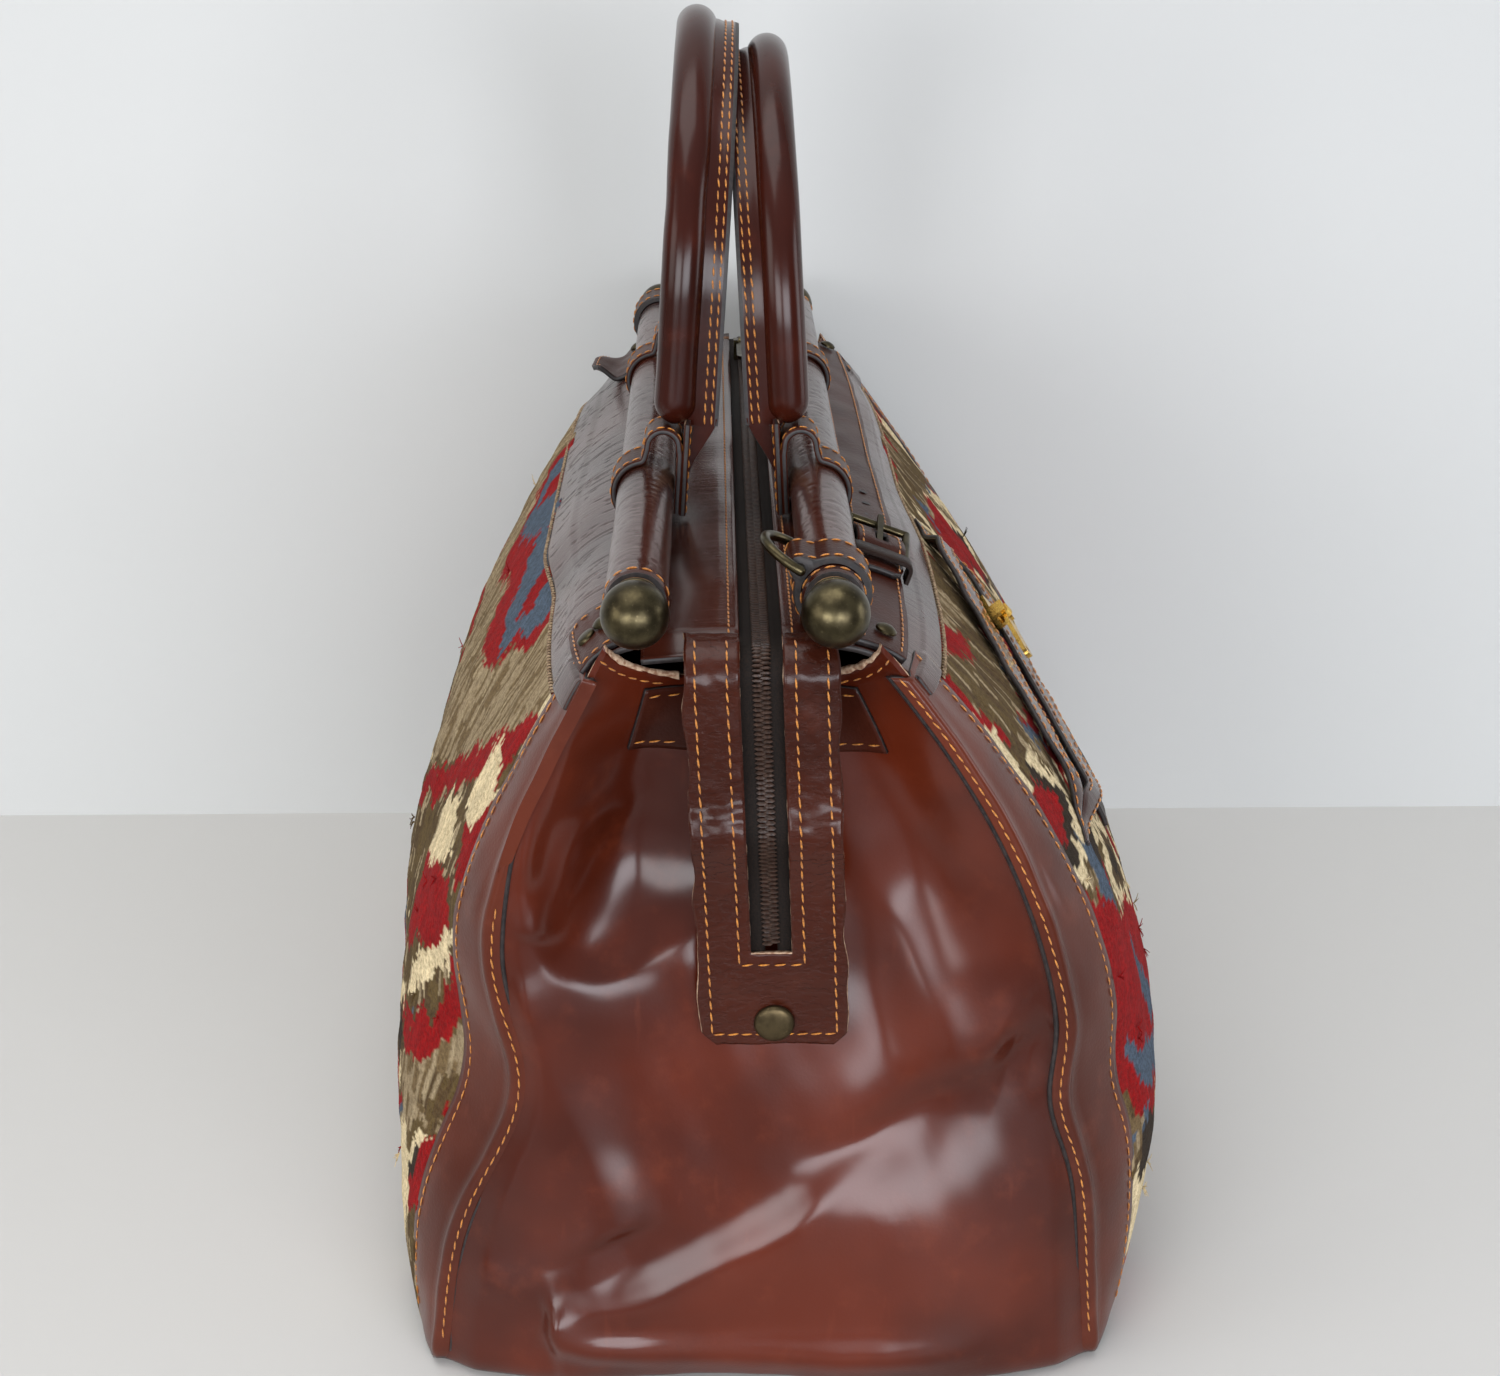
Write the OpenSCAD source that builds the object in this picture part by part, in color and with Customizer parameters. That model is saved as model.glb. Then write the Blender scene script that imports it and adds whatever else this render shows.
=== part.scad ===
// Carpet bag: kilim sides, leather ends, two covered bars with brass balls, two rolled handles.
// The length runs along Y, +X is the side with the belt and the pocket, the base stands on z = 0.

/* [Body] */
// Length between the outer faces of the end panels at their seams
bag_length = 490; // [450:5:540]
// Width of the base at its two ends
base_width = 258; // [230:2:280]
// Height of the bars' centres above the ground
bar_height = 314; // [290:2:350]
// How far each end seam bows outward between base and mouth
end_bow = 24; // [15:1:32]
// How far each long side swells out at mid-length
side_swell = 40; // [25:1:50]
// How much less the left side swells than the right
left_slack = 14; // [0:1:16]
// How far two of the end seams, near left and far right, are drawn in at half height
seam_pinch = 23; // [0:1:26]
// How far the other two end seams are kinked in
seam_kink = 7; // [0:1:10]
// How far the mouth leans to one side
mouth_lean = -11; // [-14:1:14]
// How far the top of each end panel folds inward
end_recess = 20; // [14:1:26]
// How far the foot of each end panel swells out
end_belly = 11; // [5:1:16]
// Depth of the hollow pinched in beside each zip tab
end_pinch = 9; // [0:1:14]
// Thickness of the leather
leather = 2.4; // [1.8:0.1:3]
// Thickness of the kilim
carpet = 3.6; // [2.6:0.1:4.6]
// Width along Y of the leather binding at each end of the kilim
binding_width = 20; // [14:1:26]
// Thickness of the base
base_thickness = 4; // [3:0.5:6]
// Thickness of the stiffening board inside
board_thickness = 3; // [2:0.5:5]

/* [Bars] */
// Diameter of the wooden dowels
dowel_d = 18; // [15:0.5:21]
// Thickness of the leather sleeve round each dowel
sleeve_wall = 2; // [1.5:0.1:2.6]
// Distance between the centres of the two bars
bar_spacing = 69; // [64:1:80]
// Diameter of the brass balls
ball_d = 24; // [20:0.5:26]
// Diameter of the ball's screw
ball_screw_d = 5; // [3:0.5:6]

/* [Handles] */
// Height of the left handle's top above the bar, centre to centre
handle_rise = 172; // [150:2:200]
// How much lower the right handle's top stands, so that its flange passes under the left one's
handle_sag = 12; // [12:1:16]
// How far the left handle leans inward, in degrees
left_lean = 3.8; // [0:0.1:4.2]
// How far the right handle leans inward, in degrees
right_lean = 3; // [0:0.1:3.4]
// Distance between the two legs of a handle
handle_span = 190; // [160:2:210]
// Diameter of the rolled grip
roll_d = 17; // [14:0.5:19]
// Width of the stitched flange beside the roll
flange_width = 9; // [6:0.5:10]
// Thickness of the stitched flange
flange_wall = 4.6; // [3.6:0.2:5.4]
// Width of the strap that loops round the bar
strap_width = 22; // [18:1:26]

/* [Rings] */
// Inside width of the strap rings
ring_width = 25; // [21:1:29]
// Thickness of the ring's wire
ring_wire = 3.6; // [3:0.1:4.2]
// Distance of each ring from the nearer end of the bag
ring_inset = 23; // [23:1:75]

/* [Zip] */
// How far the zip lies to one side of the mouth's middle
zip_shift = 9; // [0:1:9]
// Width of the opening over the zip
zip_opening = 15; // [14:1:18]
// Width of the closed row of teeth
teeth_width = 6; // [5:0.5:7]
// Width of the leather tab at each end of the zip
tab_width = 57; // [44:1:57]
// Height of the tab's lower edge above the ground
tab_foot = 142; // [135:1:165]
// Diameter of the snap's cap
snap_d = 15; // [11:0.5:18]
// How far the zip's slider runs
zip_run = 395; // [300:5:395]

/* [Belt] */
// Width of the belt
belt_width = 19; // [15:0.5:20]
// Distance of the buckle from the near end of the bag
buckle_inset = 113; // [105:1:117]
// Thickness of the buckle's wire
buckle_wire = 3.2; // [2.6:0.1:3.6]

/* [Pocket] */
// Distance of the pocket's middle from the near end of the bag
pocket_inset = 137; // [132:1:160]
// Length of the pocket's leather surround along Y
pocket_length = 180; // [160:2:184]
// Width of the surround
pocket_width = 34; // [28:1:38]
// How far the pocket's middle lies below the bars' centres
pocket_drop = 77; // [74:1:86]
// Rise of the pocket from near end to far end, for each millimetre along
pocket_slope = 0.41; // [0.2:0.01:0.45]
// Length of the pocket's zip
pocket_zip = 116; // [90:2:120]
// Length of the bare leather patch
patch_length = 50; // [30:2:60]
// Height of the patch
patch_height = 28; // [20:1:32]

/* [Hidden] */
$fn = 48;

// Gap left at a sewn seam, and the running clearance of a moving piece
seam = 0.3;
play = 0.35;
hl = bag_length / 2;
bar_x = bar_spacing / 2;
sleeve_r = dowel_d / 2 + 0.2 + sleeve_wall;
loop_r = sleeve_r + play + leather;
ridge_z = bar_height - loop_r - 1.2;
zip_z = ridge_z - 0.4;
zip_x = mouth_lean + zip_shift;
ear_z = ridge_z + 1.5;
hem_z = ear_z - 20;
kilim_z = ridge_z - 12.5;
foot_z = base_thickness + seam;
mid_z = bar_height * 0.48;
mouth_half = bar_x + 12.5;
edge_y = hl - leather - seam;
bind_y = hl - binding_width - 3;
ring_place = hl - ring_inset;
buckle_place = buckle_inset - hl;
pocket_y = pocket_inset - hl;
pocket_height = bar_height - pocket_drop;

// Shape of the long sides: half width at the end seam, swell at mid-length, lean, plan outline
function up(z) = min(1, max(0, z / ear_z));
function end_half(z) = base_width / 2 + (mouth_half - base_width / 2) * up(z)
    + end_bow * sin(180 * pow(up(z), 1.43));
function swell(s, z) = 10 + (side_swell - (s < 0 ? left_slack : 0))
    * sin(180 * pow(min(1, up(z) * 1.035), 0.62));
function bump(t) = exp(-t * t);
// The seams at the ends are drawn in a little below half height, and the sides with them
function drawn_in(s, y, z) = bump((abs(y) - hl) / 48) * (s * y > 0
    ? seam_pinch * bump((z / bar_height - 0.391) / 0.143)
    : seam_kink * bump((z / bar_height - 0.373) / 0.076));
function lean(z) = mouth_lean * pow(z / bar_height, 6);
function plan(y) = pow(max(0, 1 - pow(abs(y) / hl, 4.7)), 0.67);
function side_x(s, y, z) = end_half(z) + swell(s, z) * plan(y) - drawn_in(s, y, z);
// Direction in which a side has its thickness, as seen along the bag
function out_dir(x, z) = [x, z - mid_z] / norm([x, z - mid_z]);
function side_pt(s, y, z, o = 0) = let (x = side_x(s, y, z), d = out_dir(x, z))
    [s * (x + o * d[0]) + lean(z), y, z + o * d[1]];
// Yoke: a curve from the top of the kilim to the ridge under the bar, v from 0 to 1
function yoke_line(s, y, v) = let (
    a = side_pt(s, y, kilim_z + seam),
    b = [s * (bar_x + 1.75) + mouth_lean, y, ridge_z],
    c = [0.55 * a[0] + 0.45 * b[0], y, ridge_z - 1.5])
    (1 - v) * (1 - v) * a + 2 * v * (1 - v) * c + v * v * b;
function yoke_pt(s, y, v, o = 0) = let (
    p = yoke_line(s, y, v), d = out_dir(s * (p[0] - lean(p[2])), p[2]))
    [p[0] + s * o * d[0], y, p[2] + o * d[1]];
function yoke_span(s, y) = norm(yoke_line(s, y, 1) - yoke_line(s, y, 0));
// End panels: u runs from seam to seam, the depth is measured outward from the seam's plane
function ramp(t) = let (c = min(1, max(0, t))) c * c * (3 - 2 * c);
// The panel keeps flat beside the seams, as far in as the side's own leather
flat_u = 0.92;
belly_z = bar_height * 0.16;
pinch_z = bar_height * 0.685;
belly_tall = bar_height * 0.175;
function across(u) = max(0, 1 - pow(u / flat_u, 2));
function end_depth(u, z) = across(u) * (end_belly * bump((z - belly_z) / belly_tall)
    - end_recess * ramp((z / bar_height - 0.334) / 0.382)
    - end_pinch * bump((abs(u) - 0.56) / 0.2) * bump((z - pinch_z) / belly_tall));
function hem_at(u) = hem_z + (ear_z - hem_z) * pow(abs(u), 14);
function end_pt(e, u, z, o = 0) = [u * side_x(u < 0 ? -1 : 1, e * edge_y, z) + lean(z),
    e * (hl + end_depth(u, z) + o), z];
function spread(a, b, n) = [for (i = [0:n]) a + (b - a) * i / n];

// Sample rows shared by the pieces that meet at a seam
kilim_ys = spread(-(bind_y - seam / 2), bind_y - seam / 2, 18);
near_ys = spread(-edge_y, -(bind_y + seam / 2), 4);
far_ys = spread(bind_y + seam / 2, edge_y, 4);
all_ys = concat(near_ys, kilim_ys, far_ys);
side_zs = spread(foot_z, kilim_z, 13);
end_us = concat([-1], spread(-flat_u, flat_u, 18), [1]);

// Closed solid between two grids of points, wound for either hand
module shell(a, b, flip = false) {
    n = len(a) - 1;
    m = len(a[0]) - 1;
    k = len(a) * len(a[0]);
    w = m + 1;
    cells = [for (i = [0:n - 1], j = [0:m - 1]) each [
        [i * w + j, i * w + j + 1, (i + 1) * w + j + 1],
        [i * w + j, (i + 1) * w + j + 1, (i + 1) * w + j],
        [k + i * w + j, k + (i + 1) * w + j + 1, k + i * w + j + 1],
        [k + i * w + j, k + (i + 1) * w + j, k + (i + 1) * w + j + 1]]];
    rims = concat(
        [for (j = [0:m - 1]) each [[j, k + j, k + j + 1], [j, k + j + 1, j + 1]]],
        [for (j = [0:m - 1], r = [n * w]) each [[r + j, k + r + j + 1, k + r + j],
            [r + j, r + j + 1, k + r + j + 1]]],
        [for (i = [0:n - 1]) each [[i * w, (i + 1) * w, k + (i + 1) * w],
            [i * w, k + (i + 1) * w, k + i * w]]],
        [for (i = [0:n - 1]) each [[i * w + m, k + (i + 1) * w + m, (i + 1) * w + m],
            [i * w + m, k + i * w + m, k + (i + 1) * w + m]]]);
    faces = concat(cells, rims);
    polyhedron(concat([for (r = a) each r], [for (r = b) each r]),
        flip ? faces : [for (f = faces) [f[2], f[1], f[0]]]);
}

// Panels of the bag
function side_grid(s, ys, zs, o) = [for (y = ys) [for (z = zs) side_pt(s, y, z, o)]];
function yoke_grid(s, ys, o) = [for (y = ys) [for (v = spread(0, 1, 6)) yoke_pt(s, y, v, o)]];
function end_grid(e, o) = [for (u = end_us) [for (t = spread(0, 1, 18))
    end_pt(e, u, foot_z + t * (hem_at(u) - foot_z), o)]];
function band_grid(e, o) = [for (u = spread(-0.6, 0.6, 14)) [for (z = spread(hem_z - 28, hem_z - 2, 4))
    end_pt(e, u, z, o)]];
module side_sheet(s, ys, wall)
    shell(side_grid(s, ys, side_zs, 0), side_grid(s, ys, side_zs, -wall), s > 0);
module kilim(s) color([0.62, 0.47, 0.33]) side_sheet(s, kilim_ys, carpet);
module binding(s, e) color([0.4, 0.17, 0.09]) side_sheet(s, e < 0 ? near_ys : far_ys, leather);
module yoke(s) color([0.42, 0.18, 0.1])
    shell(yoke_grid(s, all_ys, 0), yoke_grid(s, all_ys, -leather), s > 0);
module end_panel(e) color([0.45, 0.18, 0.1]) shell(end_grid(e, 0), end_grid(e, -leather), e < 0);
module hem_band(e) color([0.3, 0.12, 0.07])
    shell(band_grid(e, 0.4 + leather * 0.7), band_grid(e, 0.4), e < 0);
base_line = concat(
    [for (y = all_ys) [side_x(1, y, foot_z), y]],
    [for (i = [len(end_us) - 1:-1:0]) [end_pt(1, end_us[i], foot_z)[0], end_pt(1, end_us[i], foot_z)[1]]],
    [for (i = [len(all_ys) - 1:-1:0]) [-side_x(-1, all_ys[i], foot_z), all_ys[i]]],
    [for (u = end_us) [end_pt(-1, u, foot_z)[0], end_pt(-1, u, foot_z)[1]]]);
module base_panel() color([0.38, 0.15, 0.08])
    linear_extrude(base_thickness) polygon(base_line);
module base_board() color([0.35, 0.28, 0.2])
    translate([0, 0, base_thickness + seam])
        linear_extrude(board_thickness) polygon([for (p = base_line) [p[0] * 0.92, p[1] * 0.94]]);

// Leather on either side of the zip: flat over the tape, then falling to the ridge
module placket(s) color([0.42, 0.18, 0.1])
    rotate([90, 0, 0]) linear_extrude(2 * (hl - 9), center = true)
        polygon([
            [zip_x + s * zip_opening / 2, zip_z + seam],
            [zip_x + s * (zip_opening / 2 + 7), zip_z + seam],
            [mouth_lean + s * (bar_x - 1.3), ridge_z - leather],
            [mouth_lean + s * (bar_x - 1.3), ridge_z],
            [zip_x + s * (zip_opening / 2 + 7), zip_z + seam + leather],
            [zip_x + s * zip_opening / 2, zip_z + seam + leather]]);

// Zip path: flat along the mouth, over the end and down, offsets measured outward from the tab's middle
path_z = zip_z + seam + leather / 2;
bend_r = 12;
bend_y = hl - 3;
tab_drop = path_z - bend_r - tab_foot;
tab_tilt = asin((bend_y + bend_r - leather / 2 - 0.6
    - max(end_pt(1, 0, tab_foot)[1], end_pt(1, 0.25, tab_foot)[1])) / tab_drop);
// The bend and the drop, as points seen along X from the bend's centre
function strip_half(o, drop) = concat(
    [for (i = [0:16]) let (a = 90 - i * (90 + tab_tilt) / 16) [(bend_r + o) * cos(a), (bend_r + o) * sin(a)]],
    [[(bend_r + o) * cos(tab_tilt) - drop * sin(tab_tilt),
        -(bend_r + o) * sin(tab_tilt) - drop * cos(tab_tilt)]]);
function back(p) = [for (i = [len(p) - 1:-1:0]) p[i]];
function strip_line(o, from, drop) = concat([[from - bend_y, bend_r + o]], strip_half(o, drop));
function strip_whole(o, drop) = concat(
    [for (p = back(strip_half(o, drop))) [-p[0] - bend_y, p[1]]],
    [for (p = strip_half(o, drop)) [p[0] + bend_y, p[1]]]);
module between(x1, x2, a, b) translate([x1, 0, 0]) rotate([90, 0, 90])
    linear_extrude(x2 - x1) polygon(concat(a, back(b)));
module strip(o1, o2, x1, x2, from, drop)
    between(x1, x2, strip_line(o1, from, drop), strip_line(o2, from, drop));
// Puts a piece at the far end, or turned about at the near end
module at_end(e) translate([zip_x, 0, path_z - bend_r]) rotate([0, 0, e < 0 ? 180 : 0])
    translate([0, bend_y, 0]) children();
slot_drop = tab_drop - 41;
snap_drop = tab_drop - 9.5;
tape_top = -leather / 2 - seam;
module over_both(x1, x2, o1, o2, drop) translate([zip_x, 0, path_z - bend_r])
    between(x1, x2, strip_whole(o1, drop), strip_whole(o2, drop));
module zip_tape() color([0.1, 0.08, 0.07]) for (s = [-1, 1]) {
    x = s * (teeth_width / 2 + seam);
    w = s * (zip_opening / 2 + 6);
    over_both(min(x, w), max(x, w), tape_top - 1, tape_top, slot_drop + 6);
}
module zip_teeth() color([0.16, 0.13, 0.1])
    over_both(-teeth_width / 2, teeth_width / 2, tape_top - 1.5, tape_top + 1.5, slot_drop);
module zip_tab(e) color([0.34, 0.14, 0.08]) at_end(e) difference() {
    strip(-leather / 2, leather / 2, -tab_width / 2, tab_width / 2, hl - 8.7, tab_drop);
    strip(-4, 4, -zip_opening / 2, zip_opening / 2, hl - 20, slot_drop + 2);
    rotate([-tab_tilt, 0, 0]) translate([0, bend_r, -snap_drop]) rotate([90, 0, 0])
        cylinder(d = 4.4, h = 20, center = true);
    // Cut lower corners
    for (s = [-1, 1]) rotate([-tab_tilt, 0, 0]) translate([s * tab_width / 2, bend_r + 15, -tab_drop])
        rotate([90, 0, 0]) linear_extrude(30) polygon([[-5.5 * s, -0.5], [0.5 * s, -0.5], [0.5 * s, 5.5]]);
}
// Domed cap on the tab, with its shank through the leather
dome_r = snap_d * snap_d / 17.6 + 1.1;
module snap_cap(e) at_end(e) rotate([-tab_tilt, 0, 0])
    translate([0, bend_r + leather / 2 + 0.2, -snap_drop]) rotate([-90, 0, 0]) {
        cylinder(d = snap_d, h = 1.2);
        translate([0, 0, 1.2]) intersection() {
            translate([0, 0, 2.2 - dome_r]) sphere(r = dome_r);
            cylinder(d = snap_d, h = 3);
        }
        translate([0, 0, -leather - 0.6]) cylinder(d = 3.8, h = leather + 0.7);
    }
module snap_caps() color([0.3, 0.24, 0.15]) for (e = [-1, 1]) snap_cap(e);
// Stud on the end panel, standing under the cap's shank
module snap_studs() color([0.36, 0.3, 0.18]) for (e = [-1, 1]) {
    z = path_z - bend_r - snap_drop * cos(tab_tilt) - bend_r * sin(tab_tilt);
    top = bend_y + bend_r * cos(tab_tilt) - snap_drop * sin(tab_tilt) - leather / 2 - 0.8;
    foot = end_pt(1, zip_x / side_x(-1, edge_y, z), z - snap_d * 0.3)[1] + 0.3;
    translate([zip_x, e * foot, z]) rotate([e < 0 ? 90 : -90, 0, 0])
        cylinder(d = snap_d * 0.6, h = max(0.6, top - foot));
}

// Slider that runs on closed teeth, with its pull on a pin, in a frame with the teeth along Y
module slider_body(wide, long, gap_w, gap_h, tall) {
    difference() {
        translate([-wide / 2, -long / 2, 0]) cube([wide, long, tall]);
        translate([-gap_w / 2, -long, -1]) cube([gap_w, 2 * long, gap_h + 1]);
    }
    for (s = [-1, 1]) translate([s * (wide / 2 - 1.1) - 1.1, -long / 2, tall - 0.5]) cube([2.2, 6, 5.9]);
    translate([0, -long / 2 + 3, tall + 3.6]) rotate([0, 90, 0])
        cylinder(d = 2.2, h = wide - 1, center = true);
}
// Pull lying along -Y from the pin at the origin
module pull_plate(eye_w, long, wide) {
    difference() {
        union() {
            rotate([0, 90, 0]) cylinder(r = 2.9, h = eye_w, center = true);
            translate([-eye_w / 2, -9, -0.9]) cube([eye_w, 9, 1.8]);
            translate([-wide / 2, -long, -0.9]) cube([wide, long - 7, 1.8]);
            translate([0, -long, -0.9]) cylinder(d = wide, h = 1.8);
        }
        rotate([0, 90, 0]) cylinder(d = 2.2 + 2 * play, h = 3 * eye_w, center = true);
        translate([0, -long + 1, -3]) cylinder(d = wide * 0.45, h = 6);
    }
}
slider_y = zip_run / 2 + 5;
slider_z = zip_z + play;
module zip_slider() color([0.5, 0.42, 0.24]) translate([zip_x, slider_y, slider_z])
    slider_body(11, 19, teeth_width + 2 * play, 1.5 + play, 4.6);
module zip_pull() color([0.55, 0.46, 0.26]) translate([zip_x, slider_y - 6.5, slider_z + 8.2])
    pull_plate(5.8, 32, 8);

// Bars: wooden dowel, leather sleeve with a tail sewn into the ridge, brass balls on screws
module at_bar(s) translate([s * bar_x + mouth_lean, 0, bar_height])
    rotate([0, 0, s > 0 ? 180 : 0]) children();
sleeve_end = hl - 5;
module along_y(len) rotate([90, 0, 0]) linear_extrude(len, center = true) children();
module sleeve(s) color([0.42, 0.18, 0.1]) at_bar(s) {
    along_y(2 * sleeve_end) difference() {
        circle(r = sleeve_r);
        circle(r = dowel_d / 2 + 0.2);
    }
    difference() {
        translate([-1, -(hl - 11), -loop_r - 7]) cube([2, 2 * (hl - 11), loop_r + 7 - sleeve_r + 0.4]);
        for (y = [-handle_span / 2, handle_span / 2])
            translate([-2, y - strap_width / 2 - 2, -40]) cube([4, strap_width + 4, 40]);
        translate([-2, ring_place - ring_width / 2 - 4, -40]) cube([4, ring_width + 8, 40]);
    }
}
module dowel(s) color([0.6, 0.45, 0.28]) at_bar(s) rotate([90, 0, 0]) difference() {
    cylinder(d = dowel_d, h = 2 * sleeve_end + 2, center = true);
    for (e = [-1, 1]) translate([0, 0, e * (sleeve_end - 8)])
        cylinder(d = ball_screw_d + 0.3, h = 20, center = true);
}
module ball(s, e) color([0.45, 0.38, 0.22]) at_bar(s) rotate([0, 0, (s > 0 ? -e : e) < 0 ? 180 : 0])
    translate([0, sleeve_end + 1.3, 0]) rotate([-90, 0, 0]) {
        cylinder(d = dowel_d + 0.8, h = 2);
        cylinder(d = dowel_d - 2, h = ball_d / 3);
        translate([0, 0, ball_d / 2 + 0.4]) sphere(d = ball_d);
        translate([0, 0, -15]) cylinder(d = ball_screw_d, h = 16);
    }

// Handles: a rolled grip with a flange on its inner side, on two straps looped round the bar
roll_off = 10;
leg_foot = loop_r + 13;
arch_r = handle_span / 2;
function leg_top(s) = handle_rise - arch_r - (s > 0 ? handle_sag : 0);
module grip_section(hollow) difference() {
    union() {
        circle(d = roll_d);
        translate([roll_d / 2 - 1.6, -flange_wall / 2]) square([flange_width + 1.6, flange_wall]);
    }
    circle(d = hollow);
}
module grip_path(s, from) {
    top = leg_top(s);
    for (y = [-arch_r, arch_r])
        translate([roll_off, y, from]) linear_extrude(top - from) children();
    translate([0, 0, top]) rotate([90, 0, 90]) rotate_extrude(angle = 180)
        translate([arch_r, roll_off]) rotate(90) children();
}
module at_handle(s) at_bar(s) rotate([0, s < 0 ? left_lean : right_lean, 0]) children();
core_d = roll_d - 2 * sleeve_wall;
module handle(s) color([0.44, 0.18, 0.1]) at_handle(s) grip_path(s, leg_foot) grip_section(core_d);
module handle_core(s) color([0.6, 0.55, 0.45]) at_handle(s)
    grip_path(s, leg_foot + 4) circle(d = core_d - 0.5);
module loop_section() {
    curl = [roll_off - 4, loop_r + 5.2];
    difference() {
        union() {
            circle(r = loop_r);
            translate([roll_off + 1.6, -8]) square([2 * leather, leg_foot + 8 - seam]);
            translate(curl) circle(r = 7.5);
        }
        circle(r = sleeve_r + play);
        translate(curl) circle(r = 4.6);
    }
}
module handle_loop(s, e) color([0.4, 0.16, 0.09]) at_handle(s)
    translate([0, (s > 0 ? -e : e) * arch_r, 0]) along_y(strap_width) loop_section();

// Strap rings, each in a leather loop on one bar
ring_hold = [(loop_r + 1.2) * cos(40), (loop_r + 1.2) * sin(40)];
ring_eye = ring_wire / 2 + play;
module ring_loop(s) color([0.4, 0.16, 0.09]) at_bar(s) translate([0, ring_place, 0])
    along_y(ring_width - 3) difference() {
        union() {
            circle(r = loop_r);
            translate(ring_hold) circle(r = ring_eye + leather);
        }
        circle(r = sleeve_r + 0.15);
        translate(ring_hold) circle(r = ring_eye);
    }
ring_r = (ring_width + ring_wire) / 2;
module strap_ring(s) color([0.5, 0.42, 0.24]) at_bar(s) translate([ring_hold[0], ring_place, ring_hold[1]])
    rotate([0, -32, 0]) {
        rotate([90, 0, 0]) cylinder(d = ring_wire, h = 2 * ring_r, center = true);
        rotate([0, 0, -90]) rotate_extrude(angle = 180) translate([ring_r, 0]) circle(d = ring_wire);
        for (e = [-1, 1]) translate([0, e * ring_r, 0]) sphere(d = ring_wire);
    }

// Pointed tabs at the corners of the plain yoke, and the rivets
tab_in = hl - 53;
function tab_row(t) = t < 0.72 ? 1 : 1 - (t - 0.72) / 0.31;
function tab_grid(e, o) = [for (t = spread(0, 1, 8)) [for (v = spread(-0.26, 0.14, 4))
    yoke_pt(-1, e * (edge_y - 1 - t * (edge_y - 1 - tab_in)), 0.62 + v * tab_row(t), o)]];
module corner_tab(e) color([0.4, 0.16, 0.09]) shell(tab_grid(e, 0.5 + leather), tab_grid(e, 0.5), e > 0);
// A frame standing on the yoke: X along the bag, Y up the slope, Z outward
module on_yoke(s, y, v) {
    p = yoke_line(s, y, v);
    t = yoke_line(s, y + 4, v) - yoke_line(s, y - 4, v);
    w = yoke_line(s, y, v + 0.08) - yoke_line(s, y, v - 0.08);
    n = cross(t, w) * s;
    z = n / norm(n);
    x = t / norm(t);
    q = cross(z, x);
    multmatrix([[x[0], q[0], z[0], p[0]], [x[1], q[1], z[1], p[1]], [x[2], q[2], z[2], p[2]], [0, 0, 0, 1]])
        children();
}
module rivet() {
    cylinder(d = 8, h = 0.9);
    translate([0, 0, 0.9]) intersection() {
        translate([0, 0, -4.2]) sphere(r = 5.8);
        cylinder(d = 8, h = 3);
    }
}
module corner_rivets() color([0.55, 0.46, 0.26]) {
    for (e = [-1, 1]) on_yoke(-1, e * (hl - 25), 0.58) translate([0, 0, leather + 1.2]) rivet();
    for (e = [-1, 1]) on_yoke(1, e * (hl - 19), belt_v) translate([0, 0, leather + 1.2]) rivet();
}

// Belt along the right yoke: chape at the near end, billet through the buckle, keeper over both
belt_v = 0.47;
function belt_pt(y, w, o) = yoke_pt(1, y, belt_v + w / yoke_span(1, y), o);
// The billet rides over the heel bar, then lies on the chape
heel_eye = buckle_wire / 2 + 0.15;
heel_h = heel_eye + 1.75;
billet_top = 2 * heel_eye + 3.5;
// Free end of the billet past the buckle, and the length over which it comes down again
billet_tail = belt_width * 1.5;
billet_fall = belt_width * 2;
function billet_lift(y) = y > buckle_place
    ? 0.5 + (billet_top - 0.5) * (1 - ramp((y - buckle_place - 2) / (billet_fall - 4)))
    : leather + 0.9 + (billet_top - leather - 0.9) * (1 - ramp((buckle_place - 5 - y) / 10));
function belt_grid(ys, lift, o) = [for (i = [0:len(ys) - 1]) [for (w = spread(-0.5, 0.5, 4))
    belt_pt(ys[i], w * belt_width, lift[i] + o)]];
module belt_strip(ys, lift) color([0.38, 0.15, 0.08])
    shell(belt_grid(ys, lift, leather), belt_grid(ys, lift, 0), true);
billet_ys = concat(spread(buckle_place - billet_tail, buckle_place + billet_fall, 22),
    spread(buckle_place + billet_fall + 12, hl - 12, 16));
// A slot in the billet lets the prong through
module belt_billet() difference() {
    belt_strip(billet_ys, [for (y = billet_ys) billet_lift(y)]);
    on_yoke(1, buckle_place, belt_v) translate([-6, -2.8, 2]) cube([20, 5.6, 20]);
}
chape_ys = spread(-(edge_y - 2), buckle_place - 3, 14);
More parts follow.
